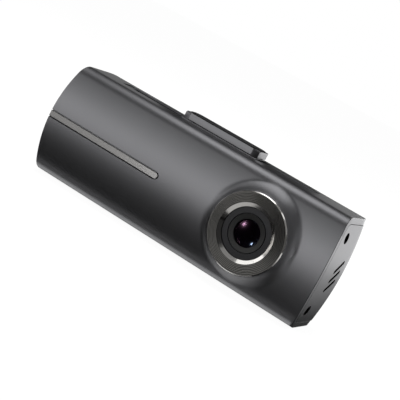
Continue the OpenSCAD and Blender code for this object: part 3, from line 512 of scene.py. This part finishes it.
def end_cap(side, name, node):
    """End plate that wraps round the back corner, with its screw recesses and openings."""
    bm = bmesh.new()
    rows = [COVER_HIGH * math.sin(math.pi / 2 * i / 24) for i in range(-24, 25)]
    flat_y = DEPTH - REAR_ROUND
    vert = first = bm.verts.new((CAP_IN, 0, rows[0]))
    vert = run(bm, vert, (HALF_L - CAP_IN, 0, 0))
    vert = run(bm, vert, (0, flat_y, 0), 8)
    vert = arc(bm, vert, (HALF_L - REAR_ROUND, flat_y, rows[0]), math.pi / 2, 12, (0, 0, 1))
    vert = run(bm, vert, (CAP_LIP - vert.co.x, 0, 0), 2)
    vert = run(bm, vert, (0, LIP_Y - vert.co.y, 0))
    vert = run(bm, vert, (CAP_IN - CAP_LIP, 0, 0))
    bm.edges.new((vert, first))
    sweep(bm, bm.edges[:], rows, 2)
    close_ends(bm)
    # Crown the plate, fit its front edge inside the casing and its back edge to the cover
    for v in bm.verts:
        y, z = v.co.y, v.co.z
        if abs(v.co.x - CAP_IN) > 0.001 and v.co.x > CAP_LIP:
            v.co.x += (end_x(0, z) - HALF_L) * (v.co.x - CAP_LIP) / (HALF_L - CAP_LIP)
        if y <= flat_y + 0.001:
            edge = front_y(z, CAP_EDGE)
            v.co.y = edge + y / flat_y * (flat_y - edge)
        elif abs(y - LIP_Y) > 0.001:
            v.co.y += (rear_y(z) - DEPTH) * (y - flat_y) / REAR_ROUND
    tool = bmesh.new()
    for y, z in SCREWS_YZ:
        rod(tool, BORE_R, 10, (CAP_IN + 4, y, z), "Y", 48)
        rod(tool, RECESS_R, 10, (CAP_IN + 6, y, z), "Y", 48)
    within, beyond = CAP_IN - 1, HALF_L + 2
    if side > 0:
        along = (0, math.cos(SLOT_SLANT), math.sin(SLOT_SLANT))
        for i in (-1, 0, 1):
            at = endwise(within, SLOT_Y + SLOT_STEP * i, SLOT_Z - SLOT_PITCH * i, along)
            bar(tool, SLOT_L, SLOT_W, 8, at)
    else:
        bar(tool, INLET_L, INLET_W, 8, endwise(within, INLET_Y, INLET_Z, (0, 0, 1)))
        slab(tool, (within, CARD_Y0, CARD_Z0), (beyond, CARD_Y1, CARD_Z1))
        slab(tool, (HALF_L - DIP_D, DIP_Y0, DIP_Z0), (beyond, DIP_Y1, DIP_Z1))
    bm = cut_away(bm, tool)
    ease(bm, sharp_edges(bm, 50, lambda p: p.x > CAP_IN + 0.5 or p.y > 23), 0.06)
    # Walls inside the screw recesses and openings take the painted shade
    for f in bm.faces:
        c = f.calc_center_median()
        inside = front_y(c.z, CAP_EDGE) + 0.5 < c.y < flat_y - 0.5 and abs(c.z) < COVER_HIGH - 0.5
        if inside and CAP_IN + 0.01 < c.x < end_x(c.y, c.z) - 0.07:
            f.material_index = 1
    if side < 0:
        bmesh.ops.scale(bm, vec=(-1, 1, 1), verts=bm.verts)
    piece(bm, name, "housing", [node], "cap_grey", cap_grey, recess_painted_shade)


def back_cover():
    """Crowned back with openings for the keys, the lights and the microphone."""
    bm = bmesh.new()
    lean = math.asin(COVER_HIGH / REAR_R)
    vert = bm.verts.new((-COVER_HALF, rear_y(COVER_HIGH), -COVER_HIGH))
    arc(bm, vert, (-COVER_HALF, DEPTH - REAR_R, 0), 2 * lean, 40)
    sweep(bm, bm.edges[:], [-COVER_HALF] + spread(-COVER_HALF, COVER_HALF, 30))
    bmesh.ops.recalc_face_normals(bm, faces=bm.faces)
    if bm.faces[0].normal.y < 0:
        bmesh.ops.reverse_faces(bm, faces=bm.faces)
    bmesh.ops.solidify(bm, geom=bm.faces[:], thickness=WALL)
    tool = bmesh.new()
    for x in KEY_XS:
        bar(tool, KEY_L + 2 * KEY_GAP, KEY_W + 2 * KEY_GAP, 8, Matrix.Translation((x, 20, 0)))
        rod(tool, PIPE_R + PIPE_GAP, 10, (x, 24, PIPE_Z), "X")
    rod(tool, MIC_R, 10, (MIC_X, 24, MIC_Z), "X")
    bm = cut_away(bm, tool)
    ease(bm, sharp_edges(bm, 50, lambda p: p.y > 24.5), 0.12)
    piece(bm, "back_cover", "housing", ["rear_cover"], "shell_grey", cover_grey)


def accent_strip():
    """Satin strip that lies in its groove, flush with the front."""
    bm = bmesh.new()
    spare = 4
    place = Matrix.Translation(((-HALF_L - spare + STRIP_TIP + STRIP_R) / 2, STRIP_D, STRIP_Z))
    bar(bm, STRIP_TIP + STRIP_R + HALF_L + spare, 2 * STRIP_R, -STRIP_D, place, 16)
    # Trim it to the casing's left-hand end
    bmesh.ops.bisect_plane(
        bm, geom=bm.verts[:] + bm.edges[:] + bm.faces[:], plane_co=(-HALF_L, 0, 0), plane_no=(1, 0, 0),
        clear_inner=True,
    )
    close_ends(bm)
    bmesh.ops.recalc_face_normals(bm, faces=bm.faces)
    ease(bm, sharp_edges(bm, 50, lambda p: p.y < 0.5), 0.12)
    piece(bm, "accent_strip_satin", "housing", ["accent_strip"], "satin_aluminium", strip_metal)


def lens():
    """Trim ring, barrel, retainer, front glass and inner lens, all turned about the lens axis."""
    # Real turning marks are about 0.1 mm apart. Seven grooves, 0.47 mm apart, show in the render.
    grooves = []
    for i in range(2 * RING_GROOVES + 1):
        r = RING_OUT - (RING_OUT - RING_IN) * i / (2 * RING_GROOVES)
        grooves.append((r, RING_LOW_Y + (RING_OUT - r) * RING_SLOPE + GROOVE_D * (i % 2)))
    edge = [(RING_R, RING_BACK), (RING_R, RING_SHOULDER), (RING_EDGE, RING_EDGE_Y)]
    bm = turned([*edge, *grooves, (FUNNEL_R, FUNNEL_Y), (FUNNEL_R, RING_BACK)], 256)
    for f in bm.faces:
        c = f.calc_center_median()
        f.material_index = 0 if RING_IN < lens_r(c) < RING_EDGE and c.y < -2.9 else 1
    piece(bm, "trim_ring", "housing", ["lens_ring"], "turned_ring", turned_dark, polished, sharp=25)

    # Barrel: face, seat of the glass, light stop and rear bore, as radius and depth
    bm = turned([
        (6.15, -2.5), (8.05, -2.5), (8.05, 4.98), (6.9, 4.98), (6.9, 8.98), (4.6, 8.98), (4.6, 4.6),
        (3.4, 4.6), (3.4, 2.7), (4.0, 2.7), (4.0, 0.95), (5.2, 0.95), (5.2, -1.75), (6.15, -1.75),
    ])
    ease(bm, sharp_edges(bm, 50, lambda p: p.y < -2), 0.1)
    piece(bm, "lens_barrel_turned", "housing", ["lens_barrel"], "lens_black", lens_black)
    bm = turned([(5.95, -1.75), (5.95, -2.55), (4.36, -2.25), (4.36, -1.75)])
    ease(bm, sharp_edges(bm, 50), 0.06)
    piece(bm, "glass_retainer", "housing", ["lens_retainer"], "lens_black", retainer_black)

    # Front glass: a clear dome over a hollow, blackened back with a well for the inner lens
    bm = bmesh.new()
    edge = lens_arc(bm, bm.verts.new((LENS_X, GLASS_Y, 0)), GLASS_Y + GLASS_R, GLASS_RIM / GLASS_R)
    vert = bm.verts.new((LENS_X + WELL_R, BACK_Y - BACK_R + math.sqrt(BACK_R**2 - WELL_R**2), 0))
    back = lens_arc(bm, vert, BACK_Y - BACK_R, -GLASS_RIM / BACK_R, WELL_R / BACK_R)
    bm.edges.new((edge, back))
    vert = run(bm, vert, (0, WELL_Y - vert.co.y, 0))
    run(bm, vert, (-WELL_R, 0, 0))
    bm = spun(bm)
    for f in bm.faces:
        f.material_index = 0 if f.normal.y < 0 and f.calc_center_median().y < GLASS_SEAT else 1
    piece(bm, "front_glass", "housing", ["front_element"], "coated_glass", coated_glass, coated_back)
    bm = bmesh.new()
    edge = lens_arc(bm, bm.verts.new((LENS_X, INNER_Y, 0)), INNER_Y + INNER_R, INNER_RIM / INNER_R)
    vert = run(bm, edge, (0, WELL_Y - edge.co.y, 0))
    run(bm, vert, (-INNER_RIM, 0, 0))
    piece(spun(bm), "inner_lens", "housing", ["front_element"], "coated_glass", inner_mirror)


def cap_screws():
    """Four cross-headed screws, two in each end cap."""
    bm, tool = bmesh.new(), bmesh.new()
    head_x, shank_x = CAP_IN + 1.5, CAP_IN - 2.1
    for side in (-1, 1):
        near, far = sorted((side * head_x, side * HALF_L))
        for y, z in SCREWS_YZ:
            rod(bm, HEAD_R, HEAD_H, (side * head_x, y, z), "Y")
            rod(bm, SHANK_R, SHANK_L, (side * shank_x, y, z), "Y")
            for dy, dz in ((CROSS_HALF, CROSS_REACH), (CROSS_REACH, CROSS_HALF)):
                slab(tool, (near, y - dy, z - dz), (far, y + dy, z + dz))
    bm = cut_away(bm, tool)
    piece(bm, "cap_screws", "housing", ["end_cap_screws"], "black_steel", black_steel)


def bracket():
    """Hinged plate, sliding shoe, pin and adhesive pad of the windscreen bracket."""
    x0, x1, y0, y1 = BRACKET_X - BRACKET_HALF, BRACKET_X + BRACKET_HALF, BRACKET_Y0, BRACKET_Y1
    hinge_y, hinge_z = y0 + HINGE_IN, PLATE_LOW + HINGE_UP
    ear_x = BRACKET_HALF - EAR_L

    # Plate: its lower front edge is rounded about the hinge, so that it clears the shoe as it tilts
    bm = bmesh.new()
    lean = math.acos(HINGE_UP / TURN_R)
    vert = first = bm.verts.new((x0, hinge_y - TURN_R * math.sin(lean), PLATE_LOW))
    vert = arc(bm, vert, (x0, hinge_y, hinge_z), lean - math.asin(HINGE_IN / TURN_R), 3)
    for y, z in ((y0, PLATE_TOP), (y1, PLATE_TOP), (y1, PLATE_LOW)):
        vert = run(bm, vert, (0, y - vert.co.y, z - vert.co.z))
    bm.edges.new((vert, first))
    sweep(bm, bm.edges[:], [x0, x1])
    close_ends(bm)
    tool = bmesh.new()
    for side in (-1, 1):
        near, far = sorted((BRACKET_X + side * (ear_x - EAR_GAP), BRACKET_X + side * (BRACKET_HALF + 1)))
        slab(tool, (near, y0 - 1, HALF_H), (far, hinge_y, HALF_H + 5))
        slab(tool, (near, y0 - 1, EAR_TOP - 0.05), (far, hinge_y + 0.6, HALF_H + 5))
        rod(tool, EAR_R + EAR_GAP, far - near, ((near + far) / 2, hinge_y, hinge_z), "Y", 96)
    bm = cut_away(bm, tool)
    upright = sharp_edges(bm, 50, lambda p: p.y > y1 - 0.01 and PLATE_LOW + 0.1 < p.z < PLATE_TOP - 0.1)
    ease(bm, upright, 1.2, 5)
    ease(bm, sharp_edges(bm, 50), 0.06)
    piece(bm, "bracket_plate", "mount_bracket", ["mount_plate"], "bracket_grey", bracket_grey)

    # Shoe: two hinge ears with a slanted front, base, lip before the plate, neck and foot in the rail
    bm = bmesh.new()
    low, high = HALF_H + 0.12, HALF_H + 0.3
    top_reach = math.acos((EAR_TOP - hinge_z) / EAR_R)
    low_reach = math.asin((hinge_z - PLATE_LOW) / EAR_R)
    for side in (-1, 1):
        start, end = BRACKET_X + side * ear_x, BRACKET_X + side * BRACKET_HALF
        vert = first = bm.verts.new((start, y0, high - 0.1))
        edges_before = set(bm.edges)
        vert = run(bm, vert, (0, 0, EAR_TOP - vert.co.z))
        vert = run(bm, vert, (0, hinge_y + EAR_R * math.sin(top_reach) - y0, 0))
        vert = arc(bm, vert, (start, hinge_y, hinge_z), top_reach - math.pi / 2 - low_reach, 12)
        vert = run(bm, vert, (0, 0, high - 0.1 - vert.co.z))
        bm.edges.new((vert, first))
        ring = [e for e in bm.edges if e not in edges_before]
        sweep(bm, ring, [start, end])
        close_ends(bm)
        for v in bm.verts:
            if abs(v.co.x - end) < 0.001 and abs(v.co.y - y0) < 0.001:
                v.co.y += EAR_SLANT
    slab(bm, (x0, y0 - LIP_OUT + 0.2, low), (x1, y1 - 1, high))
    slab(bm, (x0, y0 - LIP_OUT, HALF_H + 0.04), (x1, y0 - LIP_OUT + 0.4, HALF_H + LIP_H))
    ease(bm, sharp_edges(bm, 50), 0.04)
    left, right = BRACKET_X - SHOE_HALF, BRACKET_X + SHOE_HALF
    slab(bm, (left, NECK_Y0, NECK_LOW), (right, NECK_Y1, low + 0.2))
    slab(bm, (left, FOOT_Y0, FOOT_LOW), (right, FOOT_Y1, FOOT_TOP))
    piece(bm, "bracket_shoe", "mount_foot", ["mount_shoe"], "bracket_grey", bracket_grey)

    bm = bmesh.new()
    rod(bm, PIN_R, 2 * (ear_x + PIN_HOLD), (BRACKET_X, hinge_y, hinge_z), "Y", 24)
    ease(bm, sharp_edges(bm, 50), 0.1)
    piece(bm, "bracket_pin", "mount_foot", ["hinge_pin"], "steel", plated_steel)

    # Pad: cut back beside the ears
    bm = bmesh.new()
    near, step, far = y0 + PAD_IN, y0 + PAD_STEP, y1 - PAD_IN
    inner, outer = ear_x - PAD_EAR, BRACKET_HALF - PAD_IN
    outline = [(-inner, near), (inner, near), (inner, step), (outer, step)]
    outline += [(outer, far), (-outer, far), (-outer, step), (-inner, step)]
    prism(bm, [(BRACKET_X + x, y, PLATE_TOP) for x, y in outline], (0, 0, PAD_T))
    upright = [e for e in bm.edges if abs(e.verts[0].co.z - e.verts[1].co.z) > 0.8 * PAD_T]
    rear = [e for e in upright if e.verts[0].co.y > far - 0.1]
    ease(bm, [e for e in upright if e not in rear], 0.6, 4)
    ease(bm, rear, 2.5, 8)
    ease(bm, sharp_edges(bm, 50, lambda p: p.z > PLATE_TOP + 0.8 * PAD_T), 0.08)
    pad = piece(bm, "windscreen_pad", "mount_bracket", ["adhesive_pad"], "foam_adhesive", foam_black)


def keys():
    """Three keys on the back, each with its flange and stem, and the light pipes over them."""
    for x, name in zip(KEY_XS, ("power", "lock", "wifi")):
        bm = bmesh.new()
        bar(bm, KEY_L, KEY_W, KEY_D, Matrix.Translation((x, KEY_Y, 0)), 16)
        ease(bm, sharp_edges(bm, 50, lambda p: p.y > 25.5), 0.5, 4)
        bar(bm, KEY_L + 2 * FLANGE, KEY_W + 2 * FLANGE, FLANGE_D, Matrix.Translation((x, FLANGE_Y, 0)), 16)
        rod(bm, STEM_R, STEM_D, (x, STEM_Y, 0), "X")
        piece(bm, name + "_key_cap", name + "_key", [name + "_button"], "button_grey", key_grey)
    bm = bmesh.new()
    for x in KEY_XS:
        rod(bm, PIPE_R, PIPE_L, (x, PIPE_Y, PIPE_Z), "X")
    ease(bm, sharp_edges(bm, 50, lambda p: p.y > 25), 0.15, 3)
    piece(bm, "light_pipes_clear", "housing", ["light_pipes"], "clear_plastic", clear_plastic)


casing()
end_cap(1, "end_cap_right", "right_end_cap")
end_cap(-1, "end_cap_left", "left_end_cap")
back_cover()
accent_strip()
lens()
cap_screws()
bracket()
keys()

# Finishes of the CAD nodes that stay as they are, by their material slot
# Mid frame: die-cast aluminium. Pale grey and dull, with a coarse grain.
inner_metal = grained("die_cast_aluminium", "#8f8f8d", "#9b9b99", 0.4, (0.4, 0.55), 0.3, Metallic=1.0)
# Gaskets and boot: moulded silicone rubber. Black and dull.
rubber = grained("moulded_silicone_rubber", "#131314", "#1a1a1b", 0.15, (0.6, 0.75), 0.2)
# Boards: glass fibre under solder mask. Dark green, with an uneven gloss.
board_green = grained("solder_masked_circuit_board", "#10331f", "#164027", 0.8, (0.3, 0.45), 0.1)
# Chips: moulded epoxy. Charcoal and matt, with a very fine grain.
chip_black = grained("epoxy_chip_package", "#161616", "#1e1e1e", 0.06, (0.5, 0.65), 0.2)
# Connectors: moulded nylon. Cream, with a low sheen.
cream = grained("moulded_nylon_connector", "#d8d0ba", "#e0d8c3", 0.2, (0.4, 0.5), 0.1)
# Ribbon: polyimide film. Amber and glossy.
film = grained("polyimide_ribbon_film", "#a8641c", "#b8722a", 0.5, (0.25, 0.35), 0.05)
# Thermal pad: filled silicone. Pale blue and dull, like putty.
thermal = grained("silicone_thermal_pad", "#8fa0b4", "#9aabbd", 0.2, (0.7, 0.85), 0.3)
# Capacitors: cans in a shrunk sleeve. Dark blue and glossy.
sleeve = grained("shrink_sleeved_capacitor", "#22305a", "#2a3a68", 0.3, (0.25, 0.35), 0.05)
# Memory card: moulded epoxy. Black, with a low sheen.
card_black = grained("moulded_memory_card", "#17171a", "#1f1f22", 0.12, (0.4, 0.5), 0.1)
# Filter: polished and coated glass. A dark blue-green mirror.
filter_glass = grained("coated_filter_glass", "#37606a", "#3f6a74", 1.0, (0.04, 0.08), 0.01)
NODE_FINISH = {
    "shell_grey": casing_grey, "cap_grey": cap_grey, "black_steel": black_steel,
    "satin_aluminium": strip_metal, "turned_ring": turned_dark, "black_rubber": rubber,
    "lens_black": lens_black, "coated_glass": coated_back, "black_plastic": rail_black,
    "steel": plated_steel, "filter_glass": filter_glass, "chip_black": chip_black,
    "circuit_board": board_green, "cream_plastic": cream, "ribbon_film": film,
    "cast_aluminium": inner_metal, "thermal_rubber": thermal, "capacitor_can": sleeve,
    "card_black": card_black, "button_grey": key_grey, "clear_plastic": clear_plastic,
    "bracket_grey": bracket_grey, "foam_adhesive": foam_black,
}
for part in frame["record"]["subparts"]:
    mesh = frame["nodes"][part["node"]].data
    mesh.materials.clear()
    mesh.materials.append(NODE_FINISH[part["material_slot"]])


def by_ray(owner, seen, unseen):
    """Strength for rays that see the background itself, also in a reflection or glass, and for all others."""
    rays = add(owner, "ShaderNodeLightPath").outputs
    links = {0: rays["Is Camera Ray"], 1: rays["Is Glossy Ray"]}
    first = add(owner, "ShaderNodeMath", {"operation": "MAXIMUM"}, links)
    links = {0: first.outputs[0], 1: rays["Is Transmission Ray"]}
    both = add(owner, "ShaderNodeMath", {"operation": "MAXIMUM"}, links)
    limits = {"To Min": unseen, "To Max": seen}
    return add(owner, "ShaderNodeMapRange", limits, {"Value": both.outputs[0]}).outputs["Result"]


# Studio: a white floor that keeps the shadow, in a white world
white = bpy.data.materials.new("white_studio_floor")
white.use_nodes = True
white.node_tree.nodes.clear()
glow = add(white, "ShaderNodeEmission", {}, {"Strength": by_ray(white, 0.93, 0.0)})
matt = add(white, "ShaderNodeBsdfDiffuse", {"Color": linear("#616161")})
both = add(white, "ShaderNodeAddShader", {}, {0: glow.outputs[0], 1: matt.outputs[0]})
add(white, "ShaderNodeOutputMaterial", {}, {"Surface": both.outputs[0]})
bm = bmesh.new()
bmesh.ops.create_grid(bm, x_segments=1, y_segments=1, size=3.0, matrix=Matrix.Translation((0, 0, -0.0003)))
floor_mesh = bpy.data.meshes.new("floor")
bm.to_mesh(floor_mesh)
bm.free()
floor_mesh.materials.append(white)
floor = bpy.data.objects.new("floor", floor_mesh)
bpy.context.scene.collection.objects.link(floor)
world = bpy.data.worlds.new("white_studio")
bpy.context.scene.world = world
world.use_nodes = True
background = world.node_tree.nodes["Background"]
world.node_tree.links.new(by_ray(world, 1.0, 0.45), background.inputs["Strength"])
background.inputs["Color"].default_value = linear("#ffffff")

# One plain finish for the panels: each one's own grey is its object colour, from black card to lit softbox
panel_white = bpy.data.materials.new("studio_panel")
panel_white.use_nodes = True
panel_white.node_tree.nodes.clear()
tone = add(panel_white, "ShaderNodeObjectInfo")
glow = add(panel_white, "ShaderNodeEmission", {}, {"Color": tone.outputs["Color"]})
add(panel_white, "ShaderNodeOutputMaterial", {}, {"Surface": glow.outputs["Emission"]})


def all_but(name, left_out):
    """Collection for light linking that keeps a panel's light off some pieces."""
    group = bpy.data.collections.new(name)
    for piece_name in left_out:
        group.objects.link(bpy.data.objects[piece_name])
    for member in group.collection_objects:
        member.light_linking.link_state = "EXCLUDE"
    return group


# The lens glass has a lamp of its own and mirrors no panel. The ring mirrors only some of them.
NOT_GLASS = all_but("not_glass", ("front_glass", "inner_lens"))
NOT_LENS = all_but("not_lens", ("front_glass", "inner_lens", "trim_ring"))


def panel(name, strength, corner, along, across, receivers=NOT_GLASS):
    """A panel that only reflections see: a corner and its two sides in millimetres."""
    bm = bmesh.new()
    vert = bm.verts.new(Vector(corner) / 1000)
    run(bm, vert, Vector(along) / 1000)
    out = bmesh.ops.extrude_edge_only(bm, edges=bm.edges[:])
    bmesh.ops.translate(bm, verts=of_kind(out, bmesh.types.BMVert), vec=Vector(across) / 1000)
    mesh = bpy.data.meshes.new(name)
    bm.to_mesh(mesh)
    bm.free()
    mesh.materials.append(panel_white)
    made = bpy.data.objects.new(name, mesh)
    made.color = (strength, strength, strength, 1)
    made.visible_camera = made.visible_shadow = made.visible_diffuse = False
    made.light_linking.receiver_collection = receivers
    bpy.context.scene.collection.objects.link(made)


# Under the casing's lower edge: three narrow strips, brightest in the middle, for the lower rounding
panel("foot_glow", 1.4, (-80, -8.0, 0.05), (133, 0, 0), (0, 2.0, 0), NOT_LENS)
panel("foot_back", 0.7, (-80, -6.0, 0.05), (133, 0, 0), (0, 2.0, 0), NOT_LENS)
panel("foot_grey", 0.3, (-80, -10.8, 0.05), (133, 0, 0), (0, 2.8, 0), NOT_LENS)
# Floor before the front: black card close by, which makes the lower half of the front dark
panel("floor_near", 0.03, (-500, -10.8, 0.6), (1000, 0, 0), (0, -49.2, 0))
panel("floor_far", 0.5, (-500, -60, 0.6), (570, 0, 0), (0, -80, 0), NOT_LENS)
panel("floor_far_right", 0.05, (70, -60, 0.6), (430, 0, 0), (0, -80, 0), NOT_LENS)
# Wall before the front: bright low down, which makes the front's light band
panel("front_low", 2.6, (-500, -140, 0), (540, 0, 0), (0, 0, 60))
panel("front_high", 1.2, (-500, -140, 60), (540, 0, 0), (0, 0, 70))
panel("front_top", 0.1, (-500, -140, 130), (1000, 0, 0), (0, 80, 70))
panel("front_right", 0.03, (40, -140, 0), (160, 80, 0), (0, 0, 130))
# Overhead: a softbox for the line along the upper rounding, dimmer to both sides
panel("overhead", 3.5, (-95, -78, 200), (130, 0, 0), (0, 122, 0))
panel("overhead_right", 0.3, (35, -78, 200), (400, 0, 0), (0, 122, 0))
panel("overhead_left", 1.1, (-500, -78, 200), (405, 0, 0), (0, 122, 0))
# Behind: black card for the top and the bracket, light fields for the right-hand end
panel("rear_top", 0.03, (-500, 140, 110), (1000, 0, 0), (0, -80, 90))
panel("rear_wall", 0.5, (-500, 140, 0), (530, 0, 0), (0, 0, 110))
panel("rear_card", 0.02, (-54, 60, 0), (72, 0, 0), (0, 0, 90))
panel("right_back_near", 2.6, (30, 140, 0), (55, 0, 0), (0, 0, 45))
panel("right_back_upper", 4.4, (30, 140, 45), (55, 0, 0), (0, 0, 65))
panel("right_back", 2.2, (85, 140, 0), (105, 0, 0), (0, 0, 110))
panel("right_back_far", 1.2, (190, 140, 0), (300, 0, 0), (0, 0, 110))
# Floor to the right: steps from dark to light, which shade the end cap towards its foot
panel("right_floor_1", 0.08, (50.5, -20, 0.1), (9.5, 0, 0), (0, 160, 0))
panel("right_floor_2", 0.3, (60, -20, 0.1), (7, 0, 0), (0, 160, 0))
panel("right_floor_3", 0.5, (67, -20, 0.1), (11, 0, 0), (0, 160, 0))
panel("right_floor_4", 0.85, (78, -20, 0.1), (22, 0, 0), (0, 160, 0))
# Walls to both sides, for the boss and the ring
panel("left_wall_low", 0.4, (-200, -70, 0), (0, 130, 0), (0, 0, 38))
panel("left_wall", 1.7, (-200, -70, 38), (0, 130, 0), (0, 0, 72))
panel("right_wall", 0.1, (200, -60, 0), (0, 120, 0), (0, 0, 110))


def lamp(name, place, target, size, power, only=()):
    """A soft lamp, placed and aimed in millimetres, for all pieces or only for some, which also mirror it."""
    light = bpy.data.lights.new(name, "AREA")
    light.shape, light.energy = "RECTANGLE", power
    light.size, light.size_y = (s / 1000 for s in size)
    made = bpy.data.objects.new(name, light)
    made.visible_glossy = bool(only)
    if only:
        made.light_linking.receiver_collection = bpy.data.collections.new(name + "_pieces")
        for o in only:
            made.light_linking.receiver_collection.objects.link(bpy.data.objects[o])
    place, target = Vector(place) / 1000, Vector(target) / 1000
    turn = (target - place).to_track_quat("-Z", "Y").to_matrix().to_4x4()
    made.matrix_world = Matrix.Translation(place) @ turn
    bpy.context.scene.collection.objects.link(made)


# Two large lamps light everything softly, and small ones give the lens, the boss and the strip their glints
CENTRE, RING_AT = (0, 0, 19), (LENS_X, -14, 19)
lamp("key_lamp", (-240, -560, 300), CENTRE, (500, 260), 1.5)
lamp("top_lamp", (0, 40, 600), CENTRE, (600, 200), 2.0)
lamp("glass_lamp", (-174, -134, 106), RING_AT, (40, 40), 0.2, ("front_glass", "inner_lens"))
lamp("ring_bright_lamp", (-88, -56, 108), RING_AT, (118, 80), 0.042, ("trim_ring",))
lamp("ring_soft_lamp", (5, -88, 147), RING_AT, (130, 70), 0.0055, ("trim_ring",))
lamp("ring_edge_lamp", (93, -11, 140), RING_AT, (70, 30), 0.0066, ("trim_ring",))
lamp("ring_foot_lamp", (24, -9.5, 0.3), (24, -9.5, 40), (26, 4), 0.0004, ("trim_ring",))
lamp("ring_low_lamp", (33, -29, 1.5), (33, -29, 40), (32, 18), 0.001, ("trim_ring",))
lamp("boss_lamp", (100, -112, 18), (40, -13, 19), (50, 70), 0.24, ("casing_front",))
lamp("strip_lamp", (-35, -130, 6), (-10, -11, 19), (40, 40), 0.035, ("accent_strip_satin",))

# Camera: fitted to the photograph's corners, in metres
azimuth, elevation, roll = math.radians(22.03), math.radians(8.76), math.radians(27.64)
aim, distance = Vector((0.004877, -0.0032, 0.01863)), 0.3643
flat = math.cos(elevation)
back = Vector((math.sin(azimuth) * flat, -math.cos(azimuth) * flat, math.sin(elevation)))
side = Vector((math.cos(azimuth), math.sin(azimuth), 0))
up = back.cross(side)
right = side * math.cos(roll) + up * math.sin(roll)
upward = up * math.cos(roll) - side * math.sin(roll)
lens_data = bpy.data.cameras.new("photo_camera")
lens_data.sensor_width, lens_data.lens = 36.0, 104.2
camera = bpy.data.objects.new("photo_camera", lens_data)
turn = Matrix((right, upward, back)).transposed().to_4x4()
camera.matrix_world = Matrix.Translation(aim + back * distance) @ turn
bpy.context.scene.collection.objects.link(camera)
bpy.context.scene.camera = camera
bpy.context.scene.view_settings.view_transform = "Standard"

bpy.context.view_layer.update()
